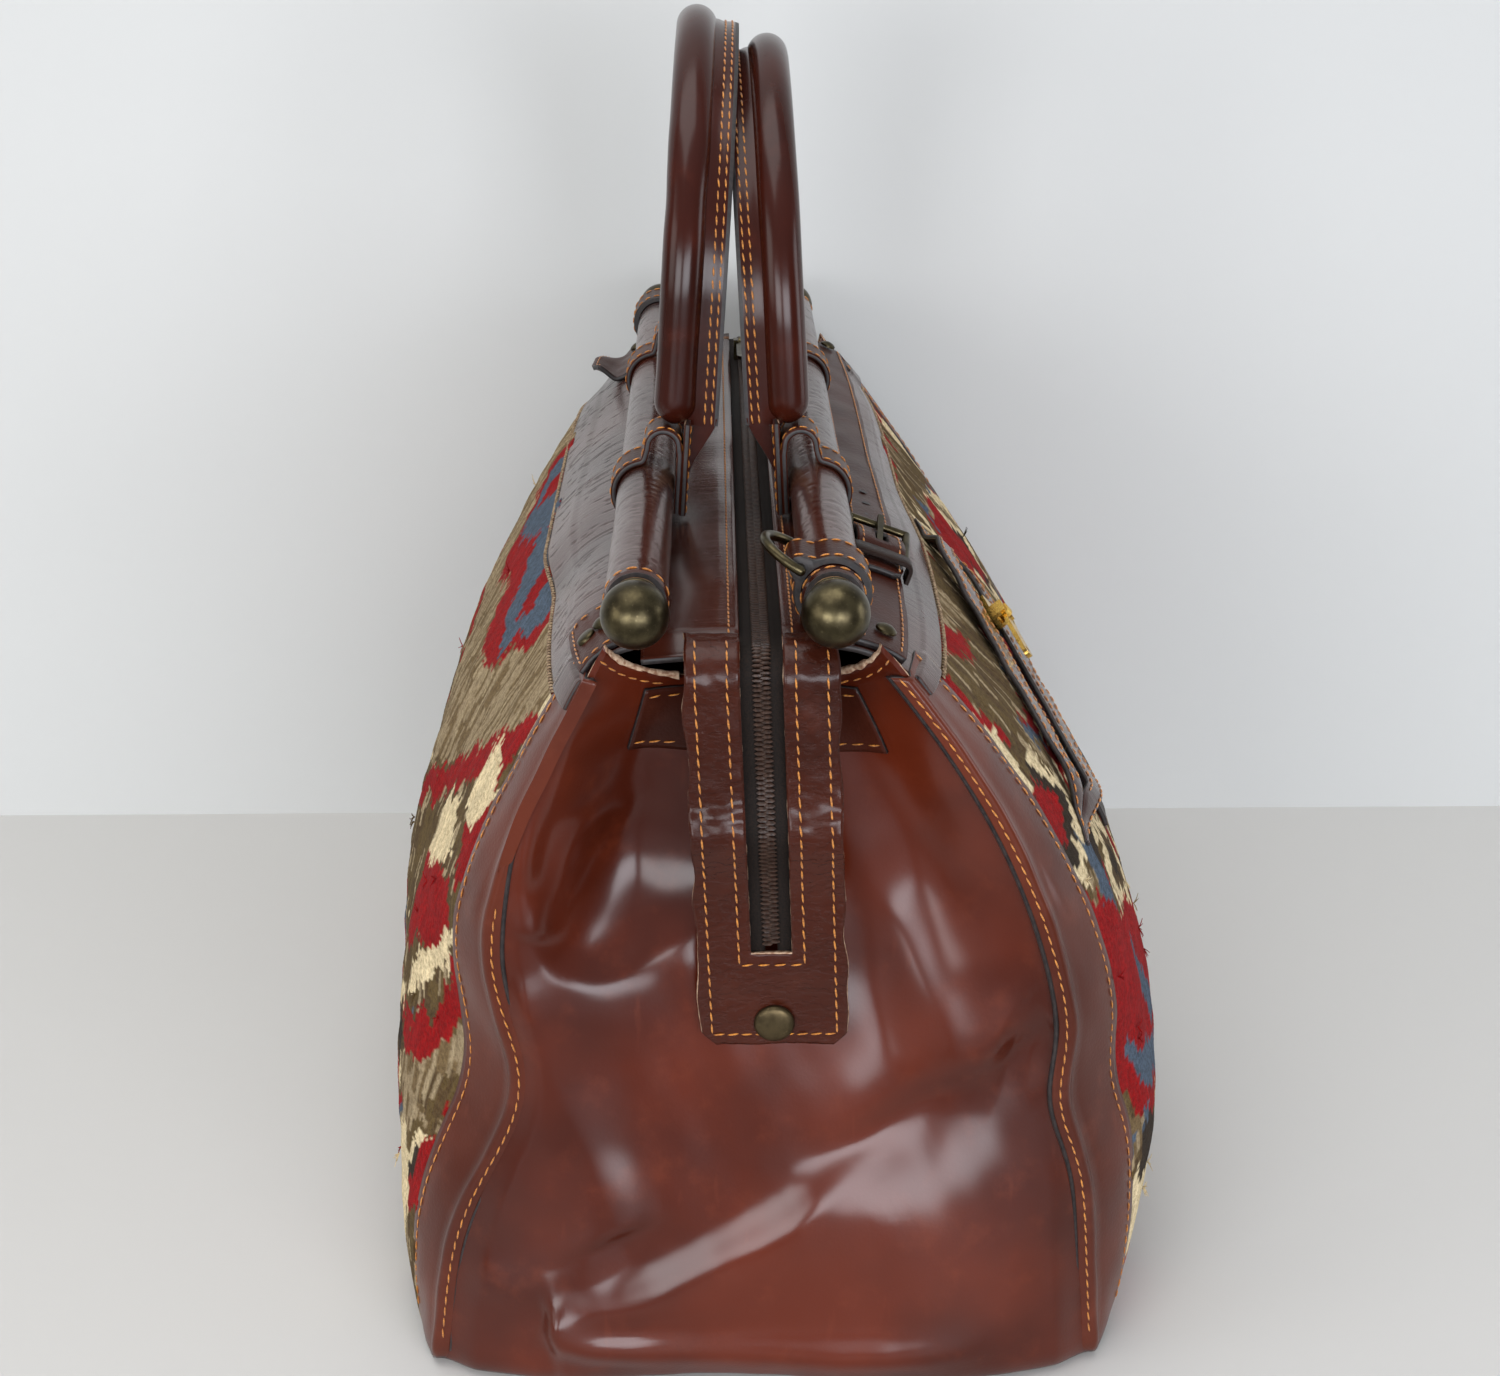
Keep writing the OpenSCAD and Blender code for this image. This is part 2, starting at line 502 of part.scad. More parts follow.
// The chape ends in two folds round the heel bar, one each side of the prong
module belt_chape() {
    belt_strip(chape_ys, [for (y = chape_ys) 0.5]);
    color([0.38, 0.15, 0.08]) on_yoke(1, buckle_place, belt_v) translate([0, 0, heel_h]) for (s = [-1, 1])
        translate([0, s * (belt_width / 4 + 1.6), 0]) along_y(belt_width / 2 - 3.2) difference() {
            union() {
                circle(r = heel_eye + 1.4);
                translate([-4.2, -1]) square([4.2, 2]);
            }
            circle(r = heel_eye);
        }
}
keeper_h = 2 * leather + 1.3;
module belt_keeper() color([0.2, 0.09, 0.06]) on_yoke(1, buckle_place - 17, belt_v)
    translate([-5, 0, 0]) rotate([90, 0, 90]) linear_extrude(10) difference() {
        translate([-belt_width / 2 - 3.2, 0.4]) square([belt_width + 6.4, keeper_h + 2]);
        translate([-belt_width / 2 - 1.2, -1]) square([belt_width + 2.4, keeper_h + 1.4]);
    }
// Buckle frame in its own frame: heel bar at the origin, tilted up over the billet
frame_in = belt_width + 2;
frame_long = belt_width * 1.05;
module at_buckle() on_yoke(1, buckle_place, belt_v)
    translate([0, 0, heel_h]) rotate([0, -13, 0]) children();
module rod(a, b) translate(a)
    rotate([0, acos((b[2] - a[2]) / norm(b - a)), atan2(b[1] - a[1], b[0] - a[0])])
        cylinder(d = buckle_wire, h = norm(b - a));
module buckle_frame() color([0.5, 0.42, 0.24]) at_buckle() {
    w = frame_in / 2 + buckle_wire / 2;
    rod([0, -w, 0], [0, w, 0]);
    rod([0, -w, 0], [frame_long, -w, 0]);
    rod([0, w, 0], [frame_long, w, 0]);
    rod([frame_long, -w, 0], [frame_long, w, 0]);
    for (s = [-1, 1], x = [0, frame_long]) translate([x, s * w, 0]) sphere(d = buckle_wire);
}
module buckle_prong() color([0.55, 0.46, 0.26]) at_buckle() difference() {
    union() {
        rotate([90, 0, 0]) cylinder(r = buckle_wire / 2 + play + 1.1, h = 4, center = true);
        translate([0, -1.2, buckle_wire / 2 + play]) cube([frame_long + 3, 2.4, 1.6]);
    }
    rotate([90, 0, 0]) cylinder(r = buckle_wire / 2 + play, h = 9, center = true);
}

// Slanted zip pocket on the right kilim, its zip lying in the plane that touches the side at its middle
slant = [1, pocket_slope] / norm([1, pocket_slope]);
function pocket_yz(s, w) = [pocket_y + s * slant[0] - w * slant[1],
    pocket_height + s * slant[1] + w * slant[0]];
function pocket_on(s, w) = let (q = pocket_yz(s, w)) side_pt(1, q[0], q[1]);
pocket_o = pocket_on(0, 0);
pocket_a = let (t = pocket_on(5, 0) - pocket_on(-5, 0)) t / norm(t);
pocket_n = let (t = cross(pocket_a, pocket_on(0, 5) - pocket_on(0, -5))) t / norm(t);
pocket_b = cross(pocket_n, pocket_a);
half_s = pocket_length / 2 / slant[0];
function welt_lift(s, w) = let (k = 1 - ramp((abs(s) - pocket_zip / 2 - 5) / 22))
    0.5 + k * max(0, 1.5 - (pocket_on(s, w) - pocket_o) * pocket_n);
function welt_in(s) = 0.2 + 6 * (1 - ramp((abs(s) - pocket_zip / 2 - 1) / 16));
function welt_out(s) = 1.6 + (pocket_width / 2 - 1.6) * (1 - ramp((abs(s) / half_s - 0.45) / 0.55));
welt_ss = spread(-half_s, half_s, 30);
function welt_grid(d, o) = [for (s = welt_ss) [for (t = spread(0, 1, 4))
    let (w = d * (welt_in(s) + t * max(1, welt_out(s) - welt_in(s))))
    pocket_on(s, w) + pocket_n * (welt_lift(s, w) + o)]];
module pocket_welts() color([0.42, 0.18, 0.1]) for (d = [-1, 1])
    shell(welt_grid(d, leather * 0.8), welt_grid(d, 0), d > 0);
module at_pocket() multmatrix([
    [pocket_b[0], pocket_a[0], pocket_n[0], pocket_o[0]],
    [pocket_b[1], pocket_a[1], pocket_n[1], pocket_o[1]],
    [pocket_b[2], pocket_a[2], pocket_n[2], pocket_o[2]], [0, 0, 0, 1]]) children();
module pocket_tape() color([0.1, 0.08, 0.07]) at_pocket() for (s = [-1, 1])
    translate([s > 0 ? 2.6 : -8.6, -pocket_zip / 2, 0.5]) cube([6, pocket_zip, 0.8]);
module pocket_teeth() color([0.3, 0.24, 0.14]) at_pocket()
    translate([-2.3, -pocket_zip / 2, 0.5]) cube([4.6, pocket_zip, 2]);
pocket_stop = pocket_zip / 2 - 22;
module pocket_slider() color([0.75, 0.6, 0.28]) at_pocket() translate([0, pocket_stop, 1.3 + play])
    slider_body(9, 14, 4.6 + 2 * play, 1.2 + play, 3.6);
module pocket_pull() color([0.78, 0.63, 0.3]) at_pocket() translate([0, pocket_stop - 4, 1.3 + play + 7.2])
    pull_plate(4, 26, 6);
module leather_patch() color([0.2, 0.11, 0.08]) {
    ys = spread(pocket_y + 3 - patch_length / 2, pocket_y + 3 + patch_length / 2, 8);
    top = pocket_height - pocket_width + 3;
    zs = spread(top - patch_height, top, 5);
    shell(side_grid(1, ys, zs, 0.5 + leather * 0.8), side_grid(1, ys, zs, 0.5), true);
}

kilim(-1);  // left_kilim
kilim(1);  // right_kilim
end_panel(-1);  // near_end
end_panel(1);  // far_end
base_panel();
base_board();
yoke(-1);  // left_yoke
yoke(1);  // right_yoke
binding(-1, -1);  // left_near_binding
binding(-1, 1);  // left_far_binding
binding(1, -1);  // right_near_binding
binding(1, 1);  // right_far_binding
placket(-1);  // left_placket
placket(1);  // right_placket
hem_band(-1);  // near_hem_band
hem_band(1);  // far_hem_band
zip_tape();
zip_teeth();
zip_slider();
zip_pull();
zip_tab(-1);  // near_zip_tab
zip_tab(1);  // far_zip_tab
snap_caps();
snap_studs();
sleeve(-1);  // left_sleeve
sleeve(1);  // right_sleeve
dowel(-1);  // left_dowel
dowel(1);  // right_dowel
ball(-1, -1);  // left_near_ball
ball(-1, 1);  // left_far_ball
ball(1, -1);  // right_near_ball
ball(1, 1);  // right_far_ball
handle(-1);  // left_handle
handle(1);  // right_handle
handle_core(-1);  // left_handle_core
handle_core(1);  // right_handle_core
handle_loop(-1, -1);  // left_near_loop
handle_loop(-1, 1);  // left_far_loop
handle_loop(1, -1);  // right_near_loop
handle_loop(1, 1);  // right_far_loop
ring_loop(1);  // near_ring_loop
ring_loop(-1);  // far_ring_loop
strap_ring(1);  // near_ring
strap_ring(-1);  // far_ring
corner_tab(-1);  // left_near_tab
corner_tab(1);  // left_far_tab
corner_rivets();
belt_billet();
belt_chape();
belt_keeper();
buckle_frame();
buckle_prong();
pocket_welts();
pocket_tape();
pocket_teeth();
pocket_slider();
pocket_pull();
leather_patch();
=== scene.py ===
import bpy
import numpy as np
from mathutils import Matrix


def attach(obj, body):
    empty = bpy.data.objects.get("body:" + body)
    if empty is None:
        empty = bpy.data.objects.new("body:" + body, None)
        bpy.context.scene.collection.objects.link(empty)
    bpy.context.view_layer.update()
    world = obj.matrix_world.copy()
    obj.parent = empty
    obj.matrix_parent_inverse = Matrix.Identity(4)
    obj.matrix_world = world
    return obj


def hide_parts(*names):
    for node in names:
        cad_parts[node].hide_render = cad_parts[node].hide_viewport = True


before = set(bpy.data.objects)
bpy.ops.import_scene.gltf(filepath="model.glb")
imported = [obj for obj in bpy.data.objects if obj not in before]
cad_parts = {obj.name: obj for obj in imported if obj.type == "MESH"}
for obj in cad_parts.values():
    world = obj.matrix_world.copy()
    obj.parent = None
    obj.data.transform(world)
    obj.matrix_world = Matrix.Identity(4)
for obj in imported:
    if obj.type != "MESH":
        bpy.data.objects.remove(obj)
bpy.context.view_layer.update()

scene = bpy.context.scene
scene.view_settings.view_transform = "Standard"
mm = 0.001
rng = np.random.default_rng(11)
sides = ((-1, "left"), (1, "right"))
ends = ((-1, "near"), (1, "far"))


class Field:  # a socket that takes part in Python sums, each of which adds a Math node
    def __init__(self, finish, socket):
        self.finish, self.socket = finish, socket

    def sum(self, kind, *terms):
        return self.finish.node("ShaderNodeMath", {"operation": kind}, terms)

    def __add__(self, other):
        return self.sum("ADD", self, other)

    def __mul__(self, other):
        return self.sum("MULTIPLY", self, other)

    def __sub__(self, other):
        return self.sum("SUBTRACT", self, other)

    def __rsub__(self, other):
        return self.sum("SUBTRACT", other, self)

    __radd__, __rmul__ = __add__, __mul__

    def between(self, low, high):  # 0 below low, 1 above high, smooth in between
        return self.finish.node("ShaderNodeMapRange", {"interpolation_type": "SMOOTHSTEP"},
                                {0: self, 1: low, 2: high, 3: 0.0, 4: 1.0})


class Finish:  # a material, with one method for any node
    def __init__(self, name, **constants):
        self.material = bpy.data.materials.new(name)
        self.material.use_nodes = True
        self.tree = self.material.node_tree
        self.shader = self.tree.nodes["Principled BSDF"]
        self.place = self.node("ShaderNodeTexCoord", out="Object")
        for key, value in constants.items():
            self.shader.inputs[key.replace("_", " ")].default_value = value

    def node(self, kind, settings=None, values=(), out=0):
        made = self.tree.nodes.new(kind)
        for key, value in (settings or {}).items():
            setattr(made, key, value)
        for key, value in (values.items() if isinstance(values, dict) else enumerate(values)):
            if isinstance(value, Field):
                self.tree.links.new(value.socket, made.inputs[key])
            else:
                made.inputs[key].default_value = value
        return Field(self, made.outputs[out])

    def noise(self, scale, detail, stretch=None, rough=0.5):
        place = self.place
        if stretch:
            place = self.node("ShaderNodeMapping", None, {"Vector": place, "Scale": stretch})
        return self.node("ShaderNodeTexNoise", None,
                         {"Vector": place, "Scale": scale, "Detail": detail, "Roughness": rough})

    def mix(self, factor, a, b, mode="MIX"):
        return self.node("ShaderNodeMix", {"data_type": "RGBA", "blend_type": mode}, {0: factor, 6: a, 7: b}, 2)

    def wear(self, **fields):  # links what varies over the surface
        for key, value in fields.items():
            self.tree.links.new(value.socket, self.shader.inputs[key.replace("_", " ")])
        return self

    def bump(self, height, distance):
        return self.node("ShaderNodeBump", None, {"Height": height, "Distance": distance, "Strength": 1.0})


def tone(red, green, blue):  # a colour as seen on screen, 0 to 255, made linear
    c = np.array([red, green, blue]) / 255
    return (*np.where(c < 0.04045, c / 12.92, ((c + 0.055) / 1.055) ** 2.4).tolist(), 1.0)


def leatherFinish(name, deep, main, worn, rough, coat, grain, crease=0.0, creaseStretch=None):
    # clouded colour with worn blotches and scuffs over it; pores, grain, slack and creases as bump
    f = Finish(name, Coat_Weight=coat, Coat_Roughness=0.21, Coat_IOR=1.5, Specular_IOR_Level=0.06)
    blotch = f.noise(60, 5, rough=0.6)
    scuff = f.noise(160, 2, (1.0, 1.0, 0.12)).between(0.68, 0.78)
    colour = f.mix(f.noise(13, 3).between(0.3, 0.7), tone(*deep), tone(*main))
    colour = f.mix(blotch.between(0.5, 0.85) * 0.4, colour, tone(*worn))
    colour = f.mix(scuff * 0.16, colour, tone(*worn))
    pores = f.node("ShaderNodeTexVoronoi", None, {"Vector": f.place, "Scale": 760.0}, "Distance")
    height = pores * 0.4 + f.noise(1500, 2) * 0.3 + f.noise(55, 2) * 1.6
    if crease:
        height = height + f.noise(210, 3, creaseStretch).between(0.40, 0.56) * crease
    return f.wear(Base_Color=colour, Roughness=(blotch - 0.5) * 0.12 + (scuff * 0.1 + rough),
                  Normal=f.bump(height, 0.00022 * grain))


def plainFinish(name, dark, light, rough, scale, **constants):  # one grain sets colour, roughness and bump
    f = Finish(name, **constants)
    grain = f.noise(scale, 4)
    return f.wear(Base_Color=f.mix(grain.between(0.35, 0.65), tone(*dark), tone(*light)),
                  Roughness=(grain - 0.5) * 0.2 + rough, Normal=f.bump(grain, 0.0001))


def brassFinish(name, dark, main, bright, rough, tarnish):  # dark clouds of tarnish with small bright spots
    f = Finish(name, Metallic=1.0)
    cloud, spots = f.noise(140, 5, rough=0.62), f.noise(620, 3)
    colour = f.mix(cloud.between(0.3, 0.68) * tarnish, tone(*main), tone(*dark))
    colour = f.mix(spots.between(0.62, 0.75) * 0.35, colour, tone(*bright))
    return f.wear(Base_Color=colour, Roughness=cloud * 0.22 + (spots * 0.06 + rough),
                  Normal=f.bump(spots, 0.00004))


def woolFinish(name):  # the colour of each knot, with painted shade between the fibres where the bump is low
    f = Finish(name, Sheen_Weight=0.03, Sheen_Roughness=0.5, Specular_IOR_Level=0.05)
    yarn = f.node("ShaderNodeAttribute", {"attribute_name": "yarn"}, (), "Color")
    fuzz, ply = f.noise(520, 4, rough=0.65), f.noise(1900, 2)
    # painted shade: the yarn's colour darkened where fuzz and ply, which also set the bump, are low
    dark = f.mix(1.0, yarn, (0.58, 0.54, 0.5, 1), "MULTIPLY")
    colour = f.mix((fuzz * 0.7 + ply * 0.3).between(0.36, 0.6), dark, yarn)
    return f.wear(Base_Color=colour, Roughness=fuzz * 0.1 + 0.86,
                  Normal=f.bump(fuzz * 0.8 + ply * 0.4, 0.0011))


print("finishes")
# leathers: deep, main and worn tone, roughness, coat, grain, then the height and stretch of creases
panelLeather = leatherFinish("panelLeather", (60, 20, 9), (86, 31, 14), (106, 46, 25), 0.31, 0.56, 0.35)
yokeLeather = leatherFinish("yokeLeather", (46, 19, 12), (64, 27, 17), (80, 39, 28), 0.24, 0.68, 0.7,
                            0.45, (0.04, 1.6, 0.04))
bindLeather = leatherFinish("bindLeather", (68, 28, 17), (92, 41, 26), (112, 58, 41), 0.33, 0.4, 0.5)
handleLeather = leatherFinish("handleLeather", (40, 13, 7), (57, 19, 10), (76, 30, 17), 0.25, 0.42, 0.3)
strapLeather = leatherFinish("strapLeather", (46, 19, 12), (62, 26, 16), (84, 44, 31), 0.33, 0.12, 1.0)
tabLeather = leatherFinish("tabLeather", (46, 18, 10), (62, 25, 14), (80, 37, 24), 0.25, 0.35, 1.0,
                           1.4, (1.0, 1.0, 2.0))
patchLeather = leatherFinish("patchLeather", (30, 20, 16), (44, 29, 23), (60, 42, 34), 0.42, 0.1, 1.0)
# plain finishes: dark and light tone, roughness, scale of the grain
edgePaint = plainFinish("edgePaint", (24, 21, 22), (44, 37, 36), 0.5, 500)
rawEdge = plainFinish("rawEdge", (140, 100, 76), (196, 168, 140), 0.85, 600)
orangeThread = plainFinish("orangeThread", (146, 84, 18), (204, 130, 34), 0.55, 1400, Sheen_Weight=0.3)
creamThread = plainFinish("creamThread", (104, 80, 58), (164, 142, 112), 0.8, 900)
tapeFinish = plainFinish("zipTape", (16, 12, 10), (31, 23, 19), 0.75, 1800, Specular_IOR_Level=0.15)
coilFinish = plainFinish("zipCoil", (38, 26, 20), (64, 46, 37), 0.42, 900, Specular_IOR_Level=0.3)
woodFinish = plainFinish("dowelWood", (150, 112, 72), (190, 152, 106), 0.6, 60)
cordFinish = plainFinish("cordCore", (150, 140, 116), (196, 186, 160), 0.85, 500)
boardFinish = plainFinish("baseBoard", (44, 36, 32), (66, 56, 50), 0.8, 300)
# metals: dark, main and bright tone, roughness, tarnish
oldBrass = brassFinish("oldBrass", (54, 48, 35), (88, 80, 58), (124, 113, 86), 0.2, 0.9)
snapBronze = brassFinish("snapBronze", (58, 50, 36), (92, 80, 58), (124, 108, 78), 0.32, 0.9)
brightBrass = brassFinish("brightBrass", (176, 134, 58), (222, 184, 96), (240, 208, 132), 0.12, 0.5)
kilimWool = woolFinish("kilimWool")


def ramp(t):  # from 0 to 1, smooth at both ends
    t = np.clip(t, 0, 1)
    return t * t * (3 - 2 * t)


def bump(t):  # a bell of height 1
    return np.exp(-np.square(t))


def unit(v):
    return v / np.maximum(np.linalg.norm(v, axis=-1, keepdims=True), 1e-9)


def xyz(x, y, z):  # points from their parts, each a number or an array
    return np.stack(np.broadcast_arrays(x, y, z), -1)


def lattice(a, b):  # the two parameters of a surface on a grid
    return np.meshgrid(a, b, indexing="ij")


def circle(count):  # angles once round
    return np.arange(count) * 2 * np.pi / count


def ripple(x, y, size, seed):  # smooth chance bumps: eight sine waves in set directions, about -1 to 1
    r = np.random.default_rng(seed)
    total = 0.0
    for angle, phase, pitch in zip(r.uniform(0, np.pi, 8), r.uniform(0, 6.28, 8), r.uniform(0.6, 1.6, 8)):
        total = total + np.sin((x * np.cos(angle) + y * np.sin(angle)) * 6.28 / (size * pitch) + phase)
    return total / 3.0


# Pieces: points in mm, faces as arrays of four corners, finishes in order of face index
def addPiece(name, points, quads, finishes, body="bag", slot=None, replaced=None, index=None, sharp=50,
             yarn=None):
    mesh = bpy.data.meshes.new(name)
    points = np.asarray(points, float).reshape(-1, 3)
    quads = np.asarray(quads, np.int32).reshape(-1, 4)
    mesh.vertices.add(len(points))
    mesh.vertices.foreach_set("co", (points * mm).astype(np.float32).ravel())
    mesh.loops.add(quads.size)
    mesh.loops.foreach_set("vertex_index", quads.ravel())
    mesh.polygons.add(len(quads))
    mesh.polygons.foreach_set("loop_start", np.arange(0, quads.size, 4, dtype=np.int32))
    if index is not None:
        mesh.polygons.foreach_set("material_index", np.asarray(index, np.int32))
    if yarn is not None:
        shades = mesh.attributes.new("yarn", "FLOAT_COLOR", "POINT")
        shades.data.foreach_set("color", np.asarray(yarn, np.float32).ravel())
    mesh.update(calc_edges=True)
    mesh.validate()
    mesh.shade_smooth()
    mesh.set_sharp_from_angle(angle=np.radians(sharp))
    piece = bpy.data.objects.new(name, mesh)
    scene.collection.objects.link(piece)
    for finish in finishes:
        mesh.materials.append(finish.material)
    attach(piece, body)
    return dressed(piece, replaced)


def dressed(piece, replaced=None):
    if replaced:
        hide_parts(replaced)
    return piece


def joined(name, pieces, replaced=None):  # one object from several of the same finishes
    with bpy.context.temp_override(active_object=pieces[0], selected_editable_objects=pieces):
        bpy.ops.object.join()
    pieces[0].name = pieces[0].data.name = name
    return dressed(pieces[0], replaced)


def gridQuads(rows, columns, closed=False):  # closed joins the last column to the first
    a, b = lattice(np.arange(rows - 1), np.arange(columns if closed else columns - 1))
    c, d = a + 1, (b + 1) % columns
    return np.stack([a * columns + b, c * columns + b, c * columns + d, a * columns + d], -1).reshape(-1, 4)


def repeated(faces, count, size, start=0):  # the faces of many copies, each with size points
    return (faces + (start + np.arange(count) * size)[:, None, None]).reshape(-1, 4)


def outward(points, quads, centre):  # turns the faces so that most of them look away from centre
    p = points.reshape(-1, 3)[quads]
    normal = np.cross(p[:, 2] - p[:, 0], p[:, 3] - p[:, 1])
    side = np.einsum("ij,ij->i", normal, p.mean(1) - np.asarray(centre)).sum()
    return quads if side > 0 else quads[:, ::-1]


def addSheet(name, grid, wall, face, edge=edgePaint, centre=(0, 0, 150), keep=None, **rest):
    # a surface on a grid with its thickness put on the inner side, the cut edges in their own finish
    quads = outward(grid, gridQuads(*grid.shape[:2]), centre)
    if keep is not None:
        quads = quads[keep.ravel()]
    piece = addPiece(name, grid, quads, [face, edge], **rest)
    solid = piece.modifiers.new("wall", "SOLIDIFY")
    solid.thickness, solid.offset = wall * mm, -1
    solid.use_rim, solid.material_offset_rim = True, 1
    solid.use_even_offset = False
    return piece


def addTube(name, rings, finishes, index=None, **rest):
    # closed rings of points carried along a path; each end is drawn together to a tiny ring
    last = rings[[0, -1]]
    tips = last.mean(1, keepdims=True)
    tips = tips + (last - tips) * 1e-3
    if index is not None:
        index = np.reshape(index, (len(rings) - 1, -1))
        index = np.concatenate([index[:1], index, index[-1:]]).ravel()
    rings = np.concatenate([tips[:1], rings, tips[1:]])
    middle = rings.mean(1)
    centre = np.repeat(0.5 * (middle[:-1] + middle[1:]), rings.shape[1], 0)
    quads = outward(rings, gridQuads(*rings.shape[:2], True), centre)
    return addPiece(name, rings, quads, finishes, index=index, **rest)


def lathe(name, axisPoint, axis, profile, finish, turns=48, **rest):  # profile: distance along axis, radius
    axis = unit(np.array(axis, float))
    side = unit(np.cross(axis, [0.31, 0.2, 0.93]))
    a = circle(turns)[:, None]
    wheel = side * np.cos(a) + np.cross(axis, side) * np.sin(a)
    profile = np.asarray(profile, float)[:, None]
    rings = np.asarray(axisPoint) + profile[..., :1] * axis + profile[..., 1:] * wheel
    return addTube(name, rings, [finish], **rest)


# Shape of the bag, as in the part's source
bag = dict(half=245.0, baseHalf=129.0, mouthHalf=47.0, barZ=314.0, barX=34.5, lean=-11.0, bow=24.0,
           swell={-1: 26.0, 1: 40.0}, belly=11.0, recess=20.0, pinch=9.0, leather=2.4, footZ=4.3, hemZ=280.35,
           earZ=300.35, ridgeZ=298.85, zipX=-2.0, zipZ=298.45, kilimZ=286.35, edgeY=242.3, bindY=222.0)
hl, leather, barZ, hemZ = bag["half"], bag["leather"], bag["barZ"], bag["hemZ"]
footZ, earZ, ridgeZ, kilimZ = bag["footZ"], bag["earZ"], bag["ridgeZ"], bag["kilimZ"]
midZ = barZ * 0.48
barX = {s: bag["lean"] + s * bag["barX"] for s in (-1, 1)}
kilimTop = {-1: 272.5, 1: 277.5}  # the yoke's lower edge on each side


def leanAt(z):
    return bag["lean"] * (z / barZ) ** 6


def seamPinch(s, y, z):  # where the end seams are drawn in: deep on the near left and far right, else a kink
    t = z / barZ
    drawn = np.where(s * np.sign(y) > 0, 23 * bump((t - 0.391) / 0.143), 7 * bump((t - 0.373) / 0.076))
    return drawn * bump((np.abs(y) - hl) / 48)


def slump(s, y, z):  # beyond the middle of the bag the soft sides lean to the left
    right = -8 * ramp((y + 75) / 110) * ramp((244 - y) / 40)
    left = 9 * ramp((y + 120) / 70) * ramp((244 - y) / 50)
    return ramp((z - 50) / 90) * ramp((300 - z) / 40) * np.where(s > 0, right, left)


def sideHalf(s, y, z):  # half width: straight taper, bowed seam, swell at mid-length
    up = np.clip(z / earZ, 0, 1)
    taper = bag["baseHalf"] + (bag["mouthHalf"] - bag["baseHalf"]) * up
    end = taper + bag["bow"] * np.sin(np.pi * up ** 1.43)
    swell = np.where(s > 0, bag["swell"][1], bag["swell"][-1])
    out = 10 + swell * np.sin(np.pi * np.minimum(1, up * 1.035) ** 0.62)
    middle = np.maximum(0, 1 - (np.abs(y) / hl) ** 4.7) ** 0.67
    return end + out * middle - seamPinch(s, y, z) + slump(s, y, z)


def sidePoint(s, y, z, lift=0.0):  # a point of a long side, lifted away from the bag's long axis
    y, z = np.broadcast_arrays(np.asarray(y, float), np.asarray(z, float))
    x = sideHalf(s, y, z)
    d = unit(np.stack([x, z - midZ], -1))
    return np.stack([s * (x + lift * d[..., 0]) + leanAt(z), y, z + lift * d[..., 1]], -1)


def yokeLine(s, y, v):  # quadratic curve from the top of the kilim to the ridge under the bar
    y, v = np.broadcast_arrays(np.asarray(y, float), np.asarray(v, float))
    a = sidePoint(s, y, kilimZ + 0.3)
    b = xyz(s * (bag["barX"] + 1.75) + bag["lean"], y, ridgeZ)
    c = xyz(0.55 * a[..., 0] + 0.45 * b[..., 0], y, ridgeZ - 1.5)
    v = v[..., None]
    return (1 - v) ** 2 * a + 2 * v * (1 - v) * c + v * v * b


def yokePoint(s, y, v, lift=0.0):
    p = yokeLine(s, y, v)
    d = unit(np.stack([s * (p[..., 0] - leanAt(p[..., 2])), p[..., 2] - midZ], -1))
    return np.stack([p[..., 0] + s * lift * d[..., 0], p[..., 1], p[..., 2] + lift * d[..., 1]], -1)


def softLine(points, count):  # an even run of points on a soft curve through the given ones
    p = np.asarray(points, float)
    k = np.linspace(0, len(p) - 1, count)
    i = np.clip(k.astype(int), 0, len(p) - 2)
    f = (k - i)[:, None]
    a, b, c, d = p[np.maximum(i - 1, 0)], p[i], p[i + 1], p[np.minimum(i + 2, len(p) - 1)]
    return b + 0.5 * f * (c - a + f * (2 * a - 5 * b + 4 * c - d + f * (3 * b - a - 3 * c + d)))


def nearLine(x, z, line):  # distance to a line of points, which side of it, and the share of the way along it
    best, side, share = np.full(np.shape(x), 1e9), np.zeros(np.shape(x)), np.zeros(np.shape(x))
    for k, ((x0, z0), (x1, z1)) in enumerate(zip(line[:-1], line[1:])):
        dx, dz = x1 - x0, z1 - z0
        t = np.clip(((x - x0) * dx + (z - z0) * dz) / (dx * dx + dz * dz), 0, 1)
        ox, oz = x - x0 - t * dx, z - z0 - t * dz
        d = np.hypot(ox, oz)
        side = np.where(d < best, np.sign(dx * oz - dz * ox), side)
        share = np.where(d < best, (k + t) / (len(line) - 1), share)
        best = np.minimum(best, d)
    return best, side, share


